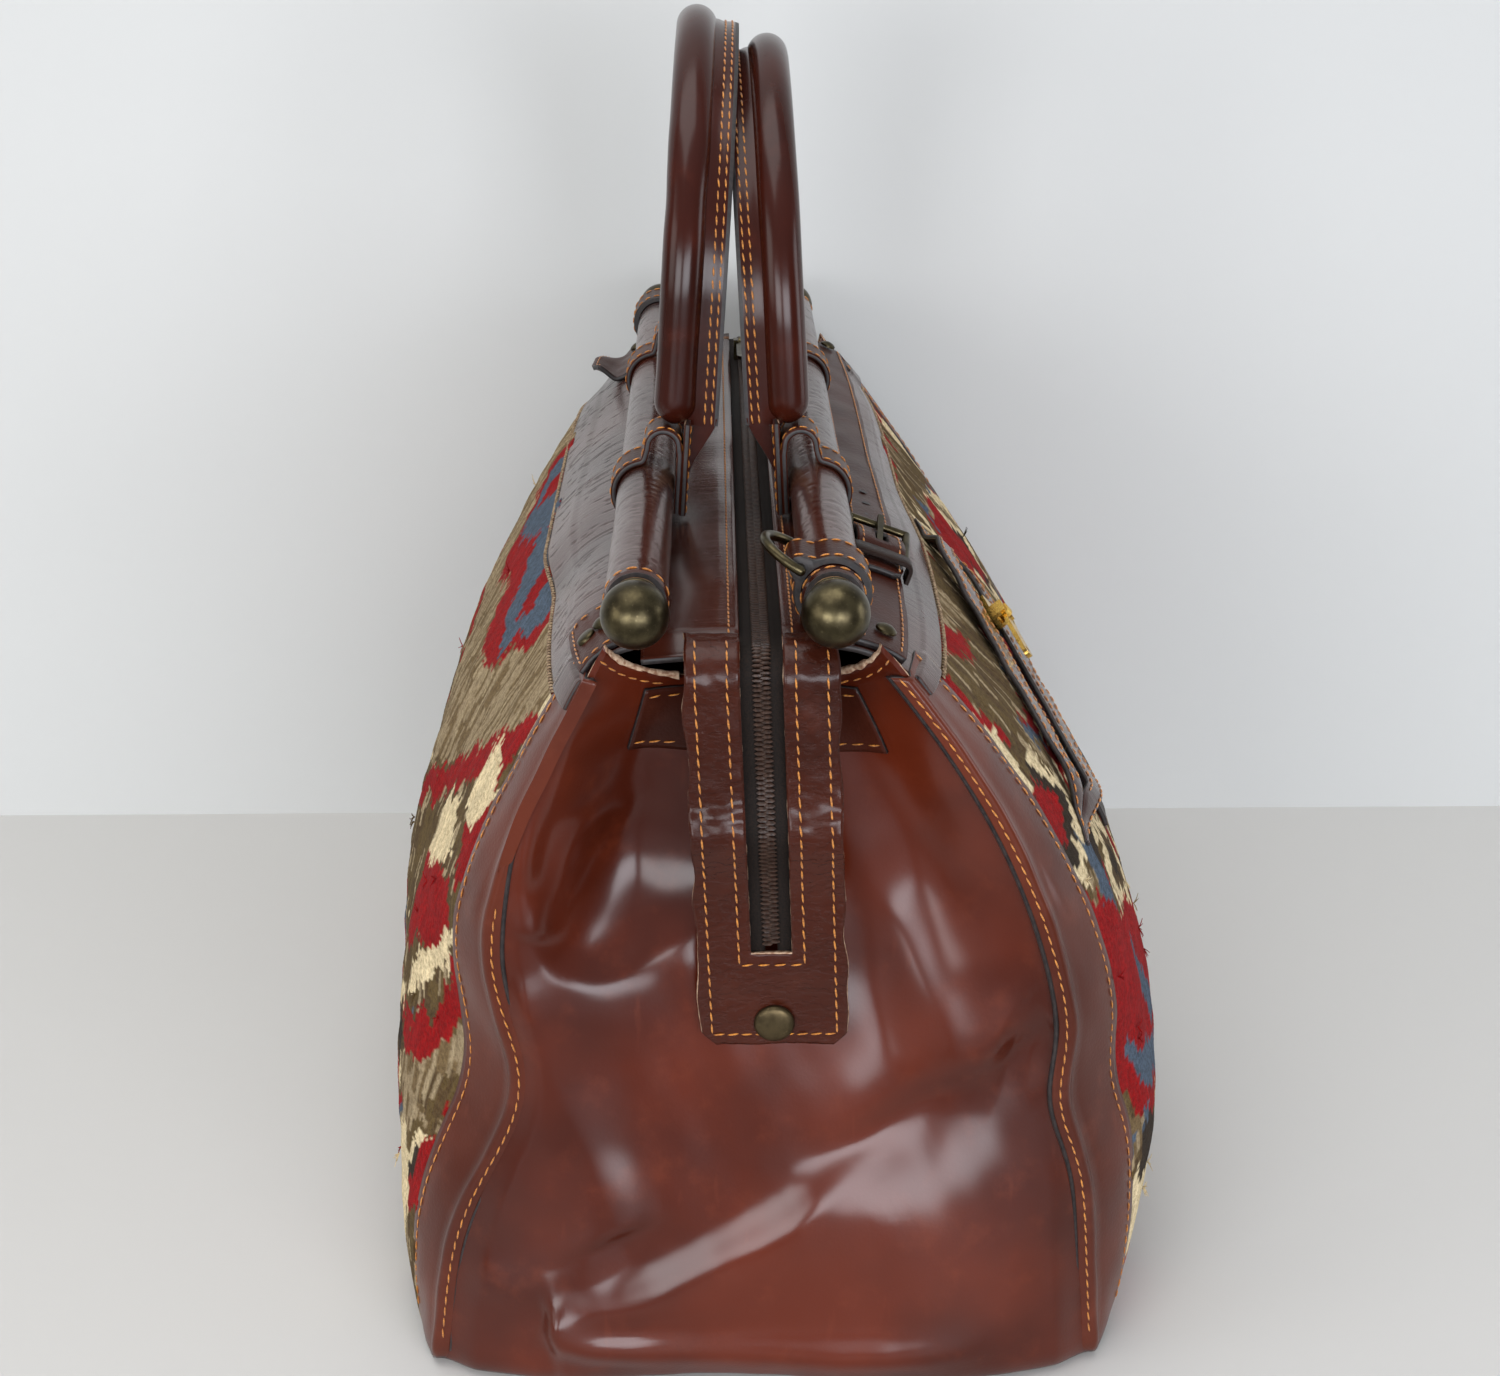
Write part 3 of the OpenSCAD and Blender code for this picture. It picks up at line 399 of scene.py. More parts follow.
# Folds of the end panels. Ridges: points (x, z), height, width left and right of the way along, taper at both
# ends. Hollows: middle (x, z), half widths, height
endFolds = dict(
    ridges=[
        ([(-91, 262), (-89, 227), (-87, 204), (-86, 184), (-81, 171), (-68, 164), (-52, 165), (-37, 174),
          (-22, 185), (-4, 206)], 5.5, 10, 22, (0.2, 0.2)),
        ([(-38, 238), (-60, 226), (-70, 217), (-77, 202), (-84, 184)], 3.0, 7, 7, (0.3, 0.1)),
        ([(-95, 172), (-87, 152), (-75, 117), (-62, 84), (-54, 64)], 4.0, 12, 24, (0.25, 0.12)),
        ([(-121, 50), (-109, 47), (-91, 46), (-73, 54), (-56, 65)], 2.4, 9, 10, (0.3, 0.2)),
        ([(-86, 33), (-64, 36), (-43, 40), (-13, 56), (12, 70), (36, 91), (62, 107)], 6.0, 11, 24,
         (0.06, 0.35)),
        ([(-86, 32), (-72, 25), (-60, 21), (-30, 17), (10, 16), (52, 17), (95, 20)], 4.4, 8, 8, (0.06, 0.2)),
        ([(36, 262), (37, 225), (47, 198), (60, 164), (75, 136), (92, 128)], 4.0, 22, 13, (0.3, 0.15)),
        ([(-60, 290), (-72, 264), (-86, 232), (-92, 205)], 4.0, 12, 12, (0.2, 0.3)),
        ([(112, 144), (84, 126), (58, 112), (34, 98), (8, 92)], -5.5, 20, 10, (0.05, 0.4))],
    hollows=[
        ((-46, 208), (30, 26), -7.0), ((-79, 214), (6, 16), -2.0), ((40, 160), (14, 40), -3.0),
        ((-46, 250), (20, 26), -6.0), ((-55, 29), (22, 5), -1.5), ((-97, 92), (18, 40), 2.5),
        ((74, 20), (58, 62), 11.5), ((5, 8), (95, 30), 6.0), ((-86, 16), (46, 62), 9.0),
        ((62, 215), (16, 40), -3.0)])


def foldHeight(x, z):  # the sum of all ridges and hollows, with small ripples
    h = np.zeros(np.shape(x))
    for points, height, left, right, (start, end) in endFolds["ridges"]:
        d, side, share = nearLine(x, z, softLine(points, 36))
        wide = np.where(side > 0, left, right)
        h = h + height * ramp(share / start) * ramp((1 - share) / end) * bump(d / wide)
    for (x0, z0), (a, b), height in endFolds["hollows"]:
        h = h + height * bump(np.hypot((x - x0) / a, (z - z0) / b))
    return h + 0.35 * ripple(x, z, 60, 3) + 0.12 * ripple(x, z, 21, 4)


def endSwell(across, u, z):  # belly low down, recess above it, and a pinch on each side of the tab
    tall = barZ * 0.175
    pinch = bag["pinch"] * bump((np.abs(u) - 0.56) / 0.2) * bump((z - barZ * 0.685) / tall)
    recess = bag["recess"] * ramp((z / barZ - 0.334) / 0.382)
    return across * (bag["belly"] * bump((z - barZ * 0.16) / tall) - recess - pinch)


def cornerRoll(z, deep):  # how far the lowest 11 mm roll under
    return deep * (1 - np.sqrt(1 - np.clip(1 - z / 11, 0, 1) ** 2))


def endDepth(e, u, z):
    x = u * sideHalf(np.sign(u), e * bag["edgeY"], z)
    shown = ramp((1 - np.abs(u)) / 0.14) * ramp((hemZ + 2 - z) / 34)
    swell = endSwell(np.maximum(0, 1 - (u / 0.96) ** 2), u, z)
    return swell + shown * foldHeight(-e * x, z) - cornerRoll(z, 6)


def hemAt(u):  # the panel's top edge, which rises to the ears
    return hemZ + 20 * np.abs(u) ** 2.6


def endPoint(e, u, z, lift=0.0):
    x = u * sideHalf(np.where(u < 0, -1, 1), e * bag["edgeY"], z) + leanAt(z)
    return xyz(x, e * (hl + endDepth(e, u, z) + lift), z)


# Stitches: small raised beads along a line, each one dipping into the leather at its ends
thread = dict(length=4.2, gap=0.8, radius=0.33, slant=0.10, sides=6, rings=5, jitter=0.03)
stitchSizes = dict(tab=(4.2, 0.8, 0.36), sleeve=(4.0, 1.0, 0.38), strap=(3.8, 1.1, 0.36),
                   loop=(3.4, 1.0, 0.36), ring=(3.6, 1.0, 0.36), pocket=(3.6, 1.0, 0.34),
                   fine=(3.4, 0.9, 0.34))  # length, gap, radius


def seamStitches(name, lines, length=thread["length"], gap=thread["gap"], radius=thread["radius"],
                 slant=thread["slant"], finish=orangeThread, body="bag"):
    # lines: points, and one normal for all of them or one for each
    t, a = np.linspace(-1, 1, thread["rings"])[:, None], circle(thread["sides"])
    fat = np.sqrt(np.maximum(0.02, 1 - t ** 4))
    rise = 0.85 * fat * np.sin(a) + 0.55 * (1 - t ** 2) - 0.1
    bead = xyz(t * length / 2, radius * fat * np.cos(a), radius * rise).reshape(-1, 3)
    faces = gridQuads(len(t), len(a), True)[:, ::-1]
    points, total = [], 0
    for line, normals in lines:
        normals = np.broadcast_to(normals, line.shape)
        run = np.concatenate([[0], np.cumsum(np.linalg.norm(np.diff(line, axis=0), axis=1))])
        count = int((run[-1] - gap) // (length + gap))
        if count < 1:
            continue
        at = (np.arange(count) + 0.5) * run[-1] / count
        pick = lambda k, v: np.stack([np.interp(k, run, v[:, i]) for i in range(3)], -1)
        along = unit(pick(np.minimum(at + 1.5, run[-1]), line) - pick(np.maximum(at - 1.5, 0), line))
        across = unit(np.cross(unit(pick(at, normals)), along))
        up = np.cross(along, across)
        turn = (slant + rng.normal(0, thread["jitter"], count))[:, None]
        long = along * np.cos(turn) + across * np.sin(turn)
        wide = across * np.cos(turn) - along * np.sin(turn)
        points.append((pick(at, line)[:, None] + bead[:, :1] * long[:, None] + bead[:, 1:2] * wide[:, None]
                       + bead[:, 2:] * up[:, None]).reshape(-1, 3))
        total += count
    return addPiece(name, np.concatenate(points), repeated(faces, total, len(bead)), [finish], body)


print("end panels")
hem = dict(lip=2.6, ear=(0.42, 0.975), earBead=1.3, band=0.6, bandTop=2, bandFoot=28, bandLift=2.1,
           bandWall=1.6, bandRows=(25, 5), edgeRow=4.2)
for e, word in ends:
    u = np.sin(np.linspace(-1, 1, 193) * np.pi / 2 * 0.94) / np.sin(np.pi / 2 * 0.94)  # closer at the seams
    U, T = lattice(u, np.linspace(0, 1, 171))
    Z = 0.6 + T * (hemAt(U) - 0.6)
    lip = hem["lip"] * ramp((Z - hemAt(U) + 7) / 7) * ramp((np.abs(U) - 0.4) / 0.25)
    addSheet(word + "EndPanel", endPoint(e, U, Z, lip), leather, panelLeather, rawEdge, slot="panel_leather",
             replaced=word + "_end")
    # pale cut edge along both ears
    a = circle(10)
    for s, side in sides:
        u = np.linspace(*sorted(s * part for part in hem["ear"]), 60)
        line = endPoint(e, u, hemAt(u) + 0.2, 1.5)[:, None]
        rough = hem["earBead"] + 0.25 * ripple(line[..., 0] * 4, line[..., 2] * 4, 20, 6)
        beads = line + rough[..., None] * xyz(0, np.cos(a), np.sin(a))
        addTube(word + side.title() + "EarEdge", beads, [rawEdge], slot="panel_leather")
    # hem band across the top, with its two rows of stitches, and a row along the hem
    U, Z = lattice(np.linspace(-hem["band"], hem["band"], 61),
                   np.linspace(hemZ - hem["bandFoot"], hemZ - hem["bandTop"], 15))
    addSheet(word + "HemBand", endPoint(e, U, Z, hem["bandLift"]), hem["bandWall"], strapLeather,
             slot="strap_leather", replaced=word + "_hem_band")
    rows = [(endPoint(e, np.linspace(*part, 30), hemZ - down, 2.3), (0, e, 0))
            for down in hem["bandRows"] for part in ((-0.59, -0.38), (0.36, 0.59))]
    for part in ((-0.98, -0.5), (0.5, 0.98)):
        u = np.linspace(*part, 60)
        rows.append((endPoint(e, u, hemAt(u) - hem["edgeRow"], 0.9), (0, e * 0.95, 0.3)))
    seamStitches(word + "HemStitches", rows)

print("bindings")
binding = dict(lift=0.7, wall=1.9, flap=6.8, narrow=5.8, turn=2.9, stitchIn=3.4, stitchOut=2.5, bead=1.0)
for s, side in sides:
    for e, word in ends:
        name = side + word.title() + "Binding"
        drawnIn = s * e > 0  # here the seam is pulled in, and the flap goes under the fold higher up
        z = np.linspace(2.5, kilimZ + 1.5, 150)
        roll = cornerRoll(z, 9)
        corner = sidePoint(s, e * bag["edgeY"], z)[:, 0]
        flap = binding["flap"] - (binding["narrow"] * ramp((z - 185) / 60) if drawnIn else 0)
        strips = [sidePoint(s, e * y, z, binding["lift"]) for y in np.linspace(bag["bindY"] - 1.5, 241.5, 12)]
        for a in np.radians(np.linspace(5, 90, 7)):
            reach, depth = binding["turn"] * np.cos(a), binding["turn"] * np.sin(a)
            strips.append(xyz(corner + s * (reach - 2.2), e * (hl - 0.7 + depth - roll), z))
        for part in np.linspace(0.5, 1, 5):
            strips.append(xyz(corner - s * part * flap, e * (hl + 2.5 - 0.7 * part - roll), z))
        grid = np.stack(strips)
        grid = grid + 0.25 * ripple(grid[..., 2], grid[..., 1] * 2, 34, 5)[..., None] * np.array([s, 0, 0])
        addSheet(name, grid, binding["wall"], bindLeather, slot="yoke_leather",
                 replaced=f"{side}_{word}_binding")
        a = circle(8)
        edge = xyz(corner - s * (flap + 0.4), e * (hl + 1.0 - roll), z)[:, None]
        addTube(name + "Edge", edge + xyz(np.cos(a), 1.3 * np.sin(a), 0) * binding["bead"], [edgePaint],
                slot="yoke_leather")
        front = xyz(corner - s * binding["stitchIn"], e * (hl + 2.4 - roll), z)[6:104 if drawnIn else None]
        outer = sidePoint(s, e * (bag["bindY"] + binding["stitchOut"]), z, binding["lift"] + 0.2)[6:]
        lookOut = unit(outer - np.array([0, outer[0, 1] * 0.9, midZ]))
        seamStitches(name + "Stitches", [(front, (0, e, 0)), (outer, lookOut)])

print("kilim sides")
yarnTones = dict(red=tone(144, 13, 15), cream=tone(226, 208, 168), olive=tone(98, 80, 48),
                 mottle=tone(156, 138, 108), slate=tone(78, 92, 108), black=tone(50, 40, 30),
                 brown=tone(84, 66, 42))
streakTones = dict(dark=tone(112, 93, 64), pale=tone(172, 154, 122))
weave = dict(column=2.4, row=2.9, lozenge=(58, 46), rings=6)
lozengeOrder = ["red", "red", "black", "cream", "olive", "mottle", "slate", "red", "olive", "cream", "brown",
                "black", "red"]  # from the middle outwards
# Fields of colour on each side as corners (y, z); later ones lie over earlier ones
leftFields = [
    ("mottle", [(-222, 300), (-222, 228), (-110, 190), (0, 165), (0, 300)]),
    ("olive", [(-222, 252), (-170, 232), (-60, 178), (0, 158), (0, 120), (-222, 120)]),
    ("red", [(38, 262), (-14, 234), (-72, 226), (-130, 260), (-120, 290), (-20, 290), (20, 284)]),
    ("slate", [(12, 266), (-45, 248), (-88, 241), (-116, 264), (-100, 282), (-30, 284)]),
    ("red", [(-62, 270), (-78, 254), (-92, 262), (-80, 276)]),
    ("red", [(-236, 284), (-190, 247), (-120, 206), (-40, 162), (-40, 150), (-125, 193), (-200, 235),
             (-236, 268)]),
    ("red", [(-192, 242), (-208, 242), (-226, 200), (-213, 194)]),
    ("cream", [(-176, 234), (-192, 240), (-206, 238), (-217, 230), (-206, 213), (-180, 211)]),
    ("cream", [(-214, 266), (-232, 276), (-232, 232), (-220, 238)]),
    ("cream", [(-134, 198), (-160, 204), (-188, 197), (-164, 173), (-112, 169)]),
    ("red", [(-193, 212), (-222, 214), (-212, 190)]),
    ("red", [(-122, 166), (-200, 191), (-214, 168), (-160, 142), (-110, 140)]),
    ("cream", [(-236, 196), (-214, 175), (-172, 141), (-168, 122), (-200, 149), (-224, 158), (-236, 176)]),
    ("olive", [(-236, 180), (-190, 144), (-182, 124), (-224, 150)]),
    ("red", [(-214, 164), (-222, 150), (-228, 168), (-236, 160), (-207, 118), (-180, 96), (-156, 112),
             (-172, 122), (-178, 112), (-190, 134), (-198, 124), (-206, 146)]),
    ("mottle", [(-236, 146), (-236, 120), (-182, 72), (-165, 92), (-205, 119)]),
    ("olive", [(-236, 122), (-219, 93), (-198, 90), (-226, 126)]),
    ("red", [(-222, 106), (-206, 56), (-236, 60), (-236, 100)]),
    ("cream", [(-188, 78), (-160, 52), (-192, 18), (-212, 50)]),
    ("red", [(-150, 92), (-120, 62), (-150, 30), (-172, 44), (-160, 66)]),
    ("olive", [(-236, 56), (-204, 46), (-190, 4), (-236, 4)])]
rightFields = [
    ("olive", [(40, 300), (30, 270), (-60, 258), (-120, 250), (-222, 230), (-222, 300)]),
    ("cream", [(20, 288), (-5, 282), (-36, 270), (-64, 277), (-50, 288)]),
    ("red", [(18, 280), (18, 258), (-22, 262)]),
    ("red", [(-45, 288), (-57, 273), (-96, 278), (-82, 288)]),
    ("mottle", [(-92, 288), (-104, 264), (-166, 278), (-160, 290)]),
    ("red", [(-160, 290), (-134, 264), (-168, 264), (-202, 290)]),
    ("red", [(-211, 284), (-208, 262), (-198, 246), (-216, 248), (-226, 276)]),
    ("black", [(-226, 278), (-226, 258), (-214, 228), (-236, 218), (-236, 280)]),
    ("cream", [(-217, 264), (-206, 252), (-210, 232), (-224, 226), (-228, 246)]),
    ("red", [(-60, 248), (-40, 222), (-110, 228), (-100, 250)]),
    ("cream", [(-120, 246), (-150, 219), (-174, 216), (-139, 246)]),
    ("red", [(-144, 232), (-158, 200), (-180, 188), (-164, 226)]),
    ("cream", [(-156, 218), (-168, 190), (-186, 196)]),
    ("black", [(-170, 200), (-182, 186), (-196, 196), (-190, 206)]),
    ("slate", [(-202, 210), (-204, 180), (-184, 166), (-192, 202)]),
    ("red", [(-236, 200), (-200, 178), (-150, 156), (-104, 122), (-128, 92), (-150, 72), (-205, 92),
             (-236, 110)]),
    ("slate", [(-184, 156), (-172, 140), (-146, 102), (-160, 106), (-180, 130)]),
    ("slate", [(-212, 122), (-180, 108), (-140, 90), (-150, 76), (-186, 92), (-208, 104)]),
    ("black", [(-214, 84), (-184, 82), (-152, 72), (-163, 58), (-214, 62)]),
    ("cream", [(-222, 64), (-165, 60), (-184, 34), (-222, 22)]),
    ("red", [(-222, 22), (-188, 34), (-176, 4), (-222, 4)])]


def inside(y, z, corners):  # whether points lie in a closed outline, by counting crossings
    hit = np.zeros(np.shape(y), bool)
    for (y0, z0), (y1, z1) in zip(corners, corners[1:] + corners[:1]):
        if z0 != z1:
            hit ^= ((z0 > z) != (z1 > z)) & (y < (y1 - y0) * (z - z0) / (z1 - z0) + y0)
    return hit


def chance(a, b, seed):  # an even spread of values from 0 to 1, the same for the same knot
    value = np.sin(a * 12.9898 + b * 78.233 + seed) * 43758.5453
    return value - np.floor(value)


def yarnColours(s, y, z):  # the colour of each knot: stepped lozenges all over, the fields over them
    column, row = np.round(y / weave["column"]), np.round(z / weave["row"])
    streak = chance(column, np.round((z + 5 * np.sin(column * 2.4)) / 11), s)
    drift = 2.2 * ripple(y, z, 26, 21)
    a = -np.abs(column * weave["column"] + drift * 0.7)  # the far half mirrors the near one
    b = row * weave["row"] + drift + 5 * (chance(column, 0, 3) - 0.5)
    wide, tall = weave["lozenge"]
    fy, fz = (a + 40) % (2 * wide) - wide, (b + 8 * s) % (2 * tall) - tall
    ring = np.floor((np.abs(fy) / wide + np.abs(fz) / tall) * weave["rings"])
    colour = np.array([yarnTones[k] for k in lozengeOrder])[np.clip(ring, 0, 12).astype(int)]
    for name, corners in (leftFields if s < 0 else rightFields):
        colour[inside(a, b, corners)] = yarnTones[name]
    mottled, dull = (np.isclose(colour[..., 0], yarnTones[k][0]) for k in ("mottle", "olive"))
    colour[mottled & (streak > 0.6)] = streakTones["dark"]
    colour[dull & (streak > 0.7)] = yarnTones["brown"]
    colour[(mottled | dull) & (streak < 0.14)] = streakTones["pale"]
    colour[..., :3] *= (0.82 + 0.22 * streak + 0.14 * chance(column, row, 7))[..., None]
    return colour


kilim = dict(half=221.9, under=1.5, over=3.5, wall=3.0, rib=2.7, knot=0.34, sunk=0.3, lump=1.4)
selvedge = dict(light=(2.6, 0.5, 0.55, 0.9, creamThread), dark=(2.6, 0.6, 0.55, -0.7, strapLeather))
for s, side in sides:
    Y, T = lattice(np.linspace(-kilim["half"], kilim["half"], 330), np.linspace(0, 1, 250))
    Z = footZ - kilim["under"] + T * (kilimTop[s] + kilim["over"] - footZ)
    step = np.linalg.norm(np.diff(sidePoint(s, Y, Z), axis=1), axis=-1)
    girth = np.pad(np.cumsum(step, 1), ((0, 0), (1, 0)))
    lump = 0.9 * ripple(Y, Z, 90, 31 + s) + 0.35 * ripple(Y, Z, 24, 33 + s)
    ribs = np.abs(np.sin(np.pi * Y / kilim["rib"] + 0.5 * ripple(Y, Z, 30, 8)))
    knot = kilim["knot"] * ribs * np.abs(np.sin(np.pi * girth / weave["row"])) ** 0.5
    points = sidePoint(s, Y, Z, np.clip(lump, -kilim["lump"], kilim["lump"]) + knot - kilim["sunk"])
    cloth = addSheet(side + "Kilim", points, kilim["wall"], kilimWool, kilimWool, slot="kilim",
                     replaced=side + "_kilim", yarn=yarnColours(s, Y, Z))
    # slanting whip stitches over the edge where the kilim meets the yoke
    y = np.linspace(-220, 220, 400)
    top = sidePoint(s, y, kilimTop[s] - 0.9, 0.9)
    up = unit(top - xyz(0, y, midZ))
    seamStitches(side + "SelvedgeLight", [(top, up)], *selvedge["light"])
    seamStitches(side + "SelvedgeDark", [(top + np.array([0, 1.4, -0.7]), up)], *selvedge["dark"])

print("loose yarn")
tuft = dict(spots=18, nearSpots=8, hairs=5, long=(1.8, 4.2), radius=0.34, rings=6, corners=4)
for s, side in sides:
    r = np.random.default_rng(5 + s)
    y, z = r.uniform(-218, 218, tuft["spots"]), r.uniform(14, 250, tuft["spots"])
    y[:tuft["nearSpots"]] = r.uniform(-219, -140, tuft["nearSpots"])
    y, z = np.repeat(y, tuft["hairs"]), np.repeat(z, tuft["hairs"])
    root = sidePoint(s, y, z, 0.2)
    out = unit(sidePoint(s, y, z, 5.0) - root)
    lie = unit(xyz(0, r.normal(0, 1, len(y)), r.normal(-0.3, 1, len(y))))
    long = r.uniform(*tuft["long"], len(y))[:, None, None]
    t, a = np.linspace(0, 1, tuft["rings"])[:, None], circle(tuft["corners"])[:, None]
    path = root[:, None] + long * (0.6 * t * out[:, None] + (0.2 * t + 0.9 * t * t) * lie[:, None])
    across = unit(np.cross(out, lie))[:, None]
    wheel = np.cos(a) * across + np.sin(a) * np.cross(lie[:, None], across)
    rings = path[:, :, None] + tuft["radius"] * (1 - 0.6 * t)[..., None] * wheel[:, None]
    size = tuft["rings"] * tuft["corners"]
    quads = repeated(gridQuads(tuft["rings"], tuft["corners"], True), len(y), size)
    addPiece(side + "LooseYarn", rings, quads, [kilimWool], slot="kilim",
             yarn=np.repeat(yarnColours(s, y, z), size, axis=0))

print("yokes and plackets")
zipX, zipZ = bag["zipX"], bag["zipZ"]
yoke = dict(half=242, crease=0.34, creased={-1: 1.0, 1: 0.35}, sag=0.8, over=0.9, overEnds=1.2)
placket = dict(inner=7.5, fold=14.5, ridge=33.2, lift=2.7, stitch=11.2)
for s, side in sides:
    slope = np.concatenate([np.linspace(-1, -0.05, 24), np.linspace(0, 1, 56)])
    Y, W = lattice(np.linspace(-yoke["half"], yoke["half"], 440), slope)  # below 0, over the kilim's top
    skirt = np.maximum(-W, 0)
    wave = ripple(Y * 3.4, W * 6, 30, 41 + s)
    creased = bump((wave - 0.1) / 0.07) * ramp((W + 1) / 0.1) * ramp((1 - W) / 0.15)
    line = -yoke["crease"] * yoke["creased"][s] * creased
    sag = yoke["sag"] * ripple(Y, W * 50, 120, 43 + s) * np.sin(np.pi * np.clip(0.5 + 0.5 * W, 0, 1))
    over = ramp(skirt / 0.3) * (yoke["over"] + yoke["overEnds"] * ramp((np.abs(Y) - 212) / 8))
    low = sidePoint(s, Y, kilimZ + 0.3 - skirt * (kilimZ - kilimTop[s]), line + sag + over)
    high = yokePoint(s, Y, np.maximum(W, 0), line + sag)
    addSheet(side + "Yoke", np.where((W < 0)[..., None], low, high), leather - 0.2, yokeLeather,
             slot="yoke_leather", replaced=side + "_yoke")
    # placket: flat over the tape, then falling to the ridge
    stopX = [zipX + s * placket["inner"], zipX + s * placket["fold"], bag["lean"] + s * placket["ridge"]]
    stopZ = [zipZ + placket["lift"], zipZ + placket["lift"], ridgeZ]
    P, Y = lattice(np.linspace(0, 2, 33), np.linspace(-241, 241, 250))
    X = np.interp(P, [0, 1, 2], stopX)
    Z = np.interp(P, [0, 1, 2], stopZ) - 0.5 * bump(P / 0.12) + 0.35 * ripple(Y, X, 70, 47 + s)
    Z = Z - 6 * ramp((np.abs(Y) - 229) / 12)
    addSheet(side + "Placket", xyz(X, Y, Z), leather - 0.2, yokeLeather, slot="yoke_leather",
             replaced=side + "_placket", centre=(0, 0, 0))
    y = np.linspace(-234, 234, 200)
    seam = xyz(zipX + s * placket["stitch"], y, np.interp(y, Y[0], Z[8]) + 0.2)
    seamStitches(side + "PlacketStitches", [(seam, (0, 0, 1))], *stitchSizes["fine"])

print("zip and tabs")
zipLine = dict(bendR=12.0, bendY=242.0, pathZ=299.95, foot=142.0, width=54.5, gap=7.5, tapeTop=-1.5,
               swing=5.5, bowAt=58.0, bow=5.2, slotFoot=41.0, snapFoot=9.5)
tabDrop = zipLine["pathZ"] - zipLine["bendR"] - zipLine["foot"]
slotDrop, snapDrop = tabDrop - zipLine["slotFoot"], tabDrop - zipLine["snapFoot"]
# the tab leans so that its foot clears the panel at its middle and at its edges
deepest = hl + max(endSwell(k, u, zipLine["foot"]) for u, k in ((0.0, 1.0), (0.25, 1 - (0.25 / 0.92) ** 2)))
tabTilt = np.arcsin((zipLine["bendY"] + zipLine["bendR"] - leather / 2 - 0.6 - deepest) / tabDrop)
bendLong = zipLine["bendR"] * (np.pi / 2 + tabTilt)
wholeZip = zipLine["bendY"] + bendLong + slotDrop


def zipAt(e, d, x, lift=0.0):  # along the mouth, round the bend and down; d is counted from the bend's start
    d, x, lift = np.broadcast_arrays(np.asarray(d, float), np.asarray(x, float), np.asarray(lift, float))
    angle = np.pi / 2 - np.clip(d / zipLine["bendR"], 0, np.pi / 2 + tabTilt)
    flat, drop = np.minimum(d, 0), np.maximum(d - bendLong, 0)
    r = zipLine["bendR"] + lift + zipLine["bow"] * bump((drop - zipLine["bowAt"]) / 12)
    y = zipLine["bendY"] + flat + r * np.cos(angle) - drop * np.sin(tabTilt)
    z = zipLine["pathZ"] - zipLine["bendR"] + r * np.sin(angle) - drop * np.cos(tabTilt)
    x = x + zipX - e * zipLine["swing"] * drop / tabDrop
    return xyz(x, e * y, z), xyz(0, e * np.cos(angle), np.sin(angle))


def wholeAt(q, x, lift):  # the same path over both ends, q from the near end's foot to the far end's
    near, far = (zipAt(e, e * q - zipLine["bendY"], x, lift)[0] for e in (-1, 1))
    return np.where((np.broadcast_to(q, near.shape[:-1]) < 0)[..., None], near, far)


tape = dict(inner=2.2, outer=13.4, over=5, fold=3.4, foldRise=0.45, sunk=0.25, rib=2.2, ribRise=0.1, wall=0.8)
for s, side in sides:
    Q, X = lattice(np.linspace(-wholeZip - tape["over"], wholeZip + tape["over"], 700),
                   np.linspace(tape["inner"], tape["outer"], 12))
    fold = np.sin(np.clip((X - tape["inner"]) / tape["fold"], 0, 1) * np.pi)
    rise = tape["foldRise"] * fold + tape["ribRise"] * np.sin(Q * 2 * np.pi / tape["rib"]) - tape["sunk"]
    addSheet(side + "ZipTape", wholeAt(Q, s * X, zipLine["tapeTop"] + rise), tape["wall"], tapeFinish,
             tapeFinish, slot="zip_tape", replaced="zip_tape", centre=(0, 0, 120))
teeth = dict(pitch=1.9, long=4.0, radius=0.8, sides=6, rings=5, inset=1.35)


def addCoil(name, node, start, end, place, thick=1.0, wide=1.0, pitch=teeth["pitch"], inset=teeth["inset"]):
    # two rows of round-ended teeth, half a pitch apart; place puts (along, across, up) on the zip
    t, a = np.linspace(-1, 1, teeth["rings"])[:, None], circle(teeth["sides"])
    fat = teeth["radius"] * thick * np.sqrt(np.maximum(0.03, 1 - t ** 6))
    across = np.repeat(t * teeth["long"] / 2 * wide, len(a), 1).ravel()
    along, up = (fat * np.cos(a)).ravel(), (fat * np.sin(a)).ravel()
    at = np.arange(start, end, pitch)[:, None]
    rows = ((-1, 0), (1, pitch / 2))
    points = np.stack([place(at + shift + along, s * inset + across, up) for s, shift in rows])
    quads = repeated(gridQuads(len(t), len(a), True), 2 * len(at), len(up))
    addPiece(name, points, quads, [coilFinish], slot="zip_teeth", replaced=node)


addCoil("zipCoil", "zip_teeth", -wholeZip + 1, wholeZip - 1,
        lambda along, across, up: wholeAt(along, across, zipLine["tapeTop"] + 0.5 + up))

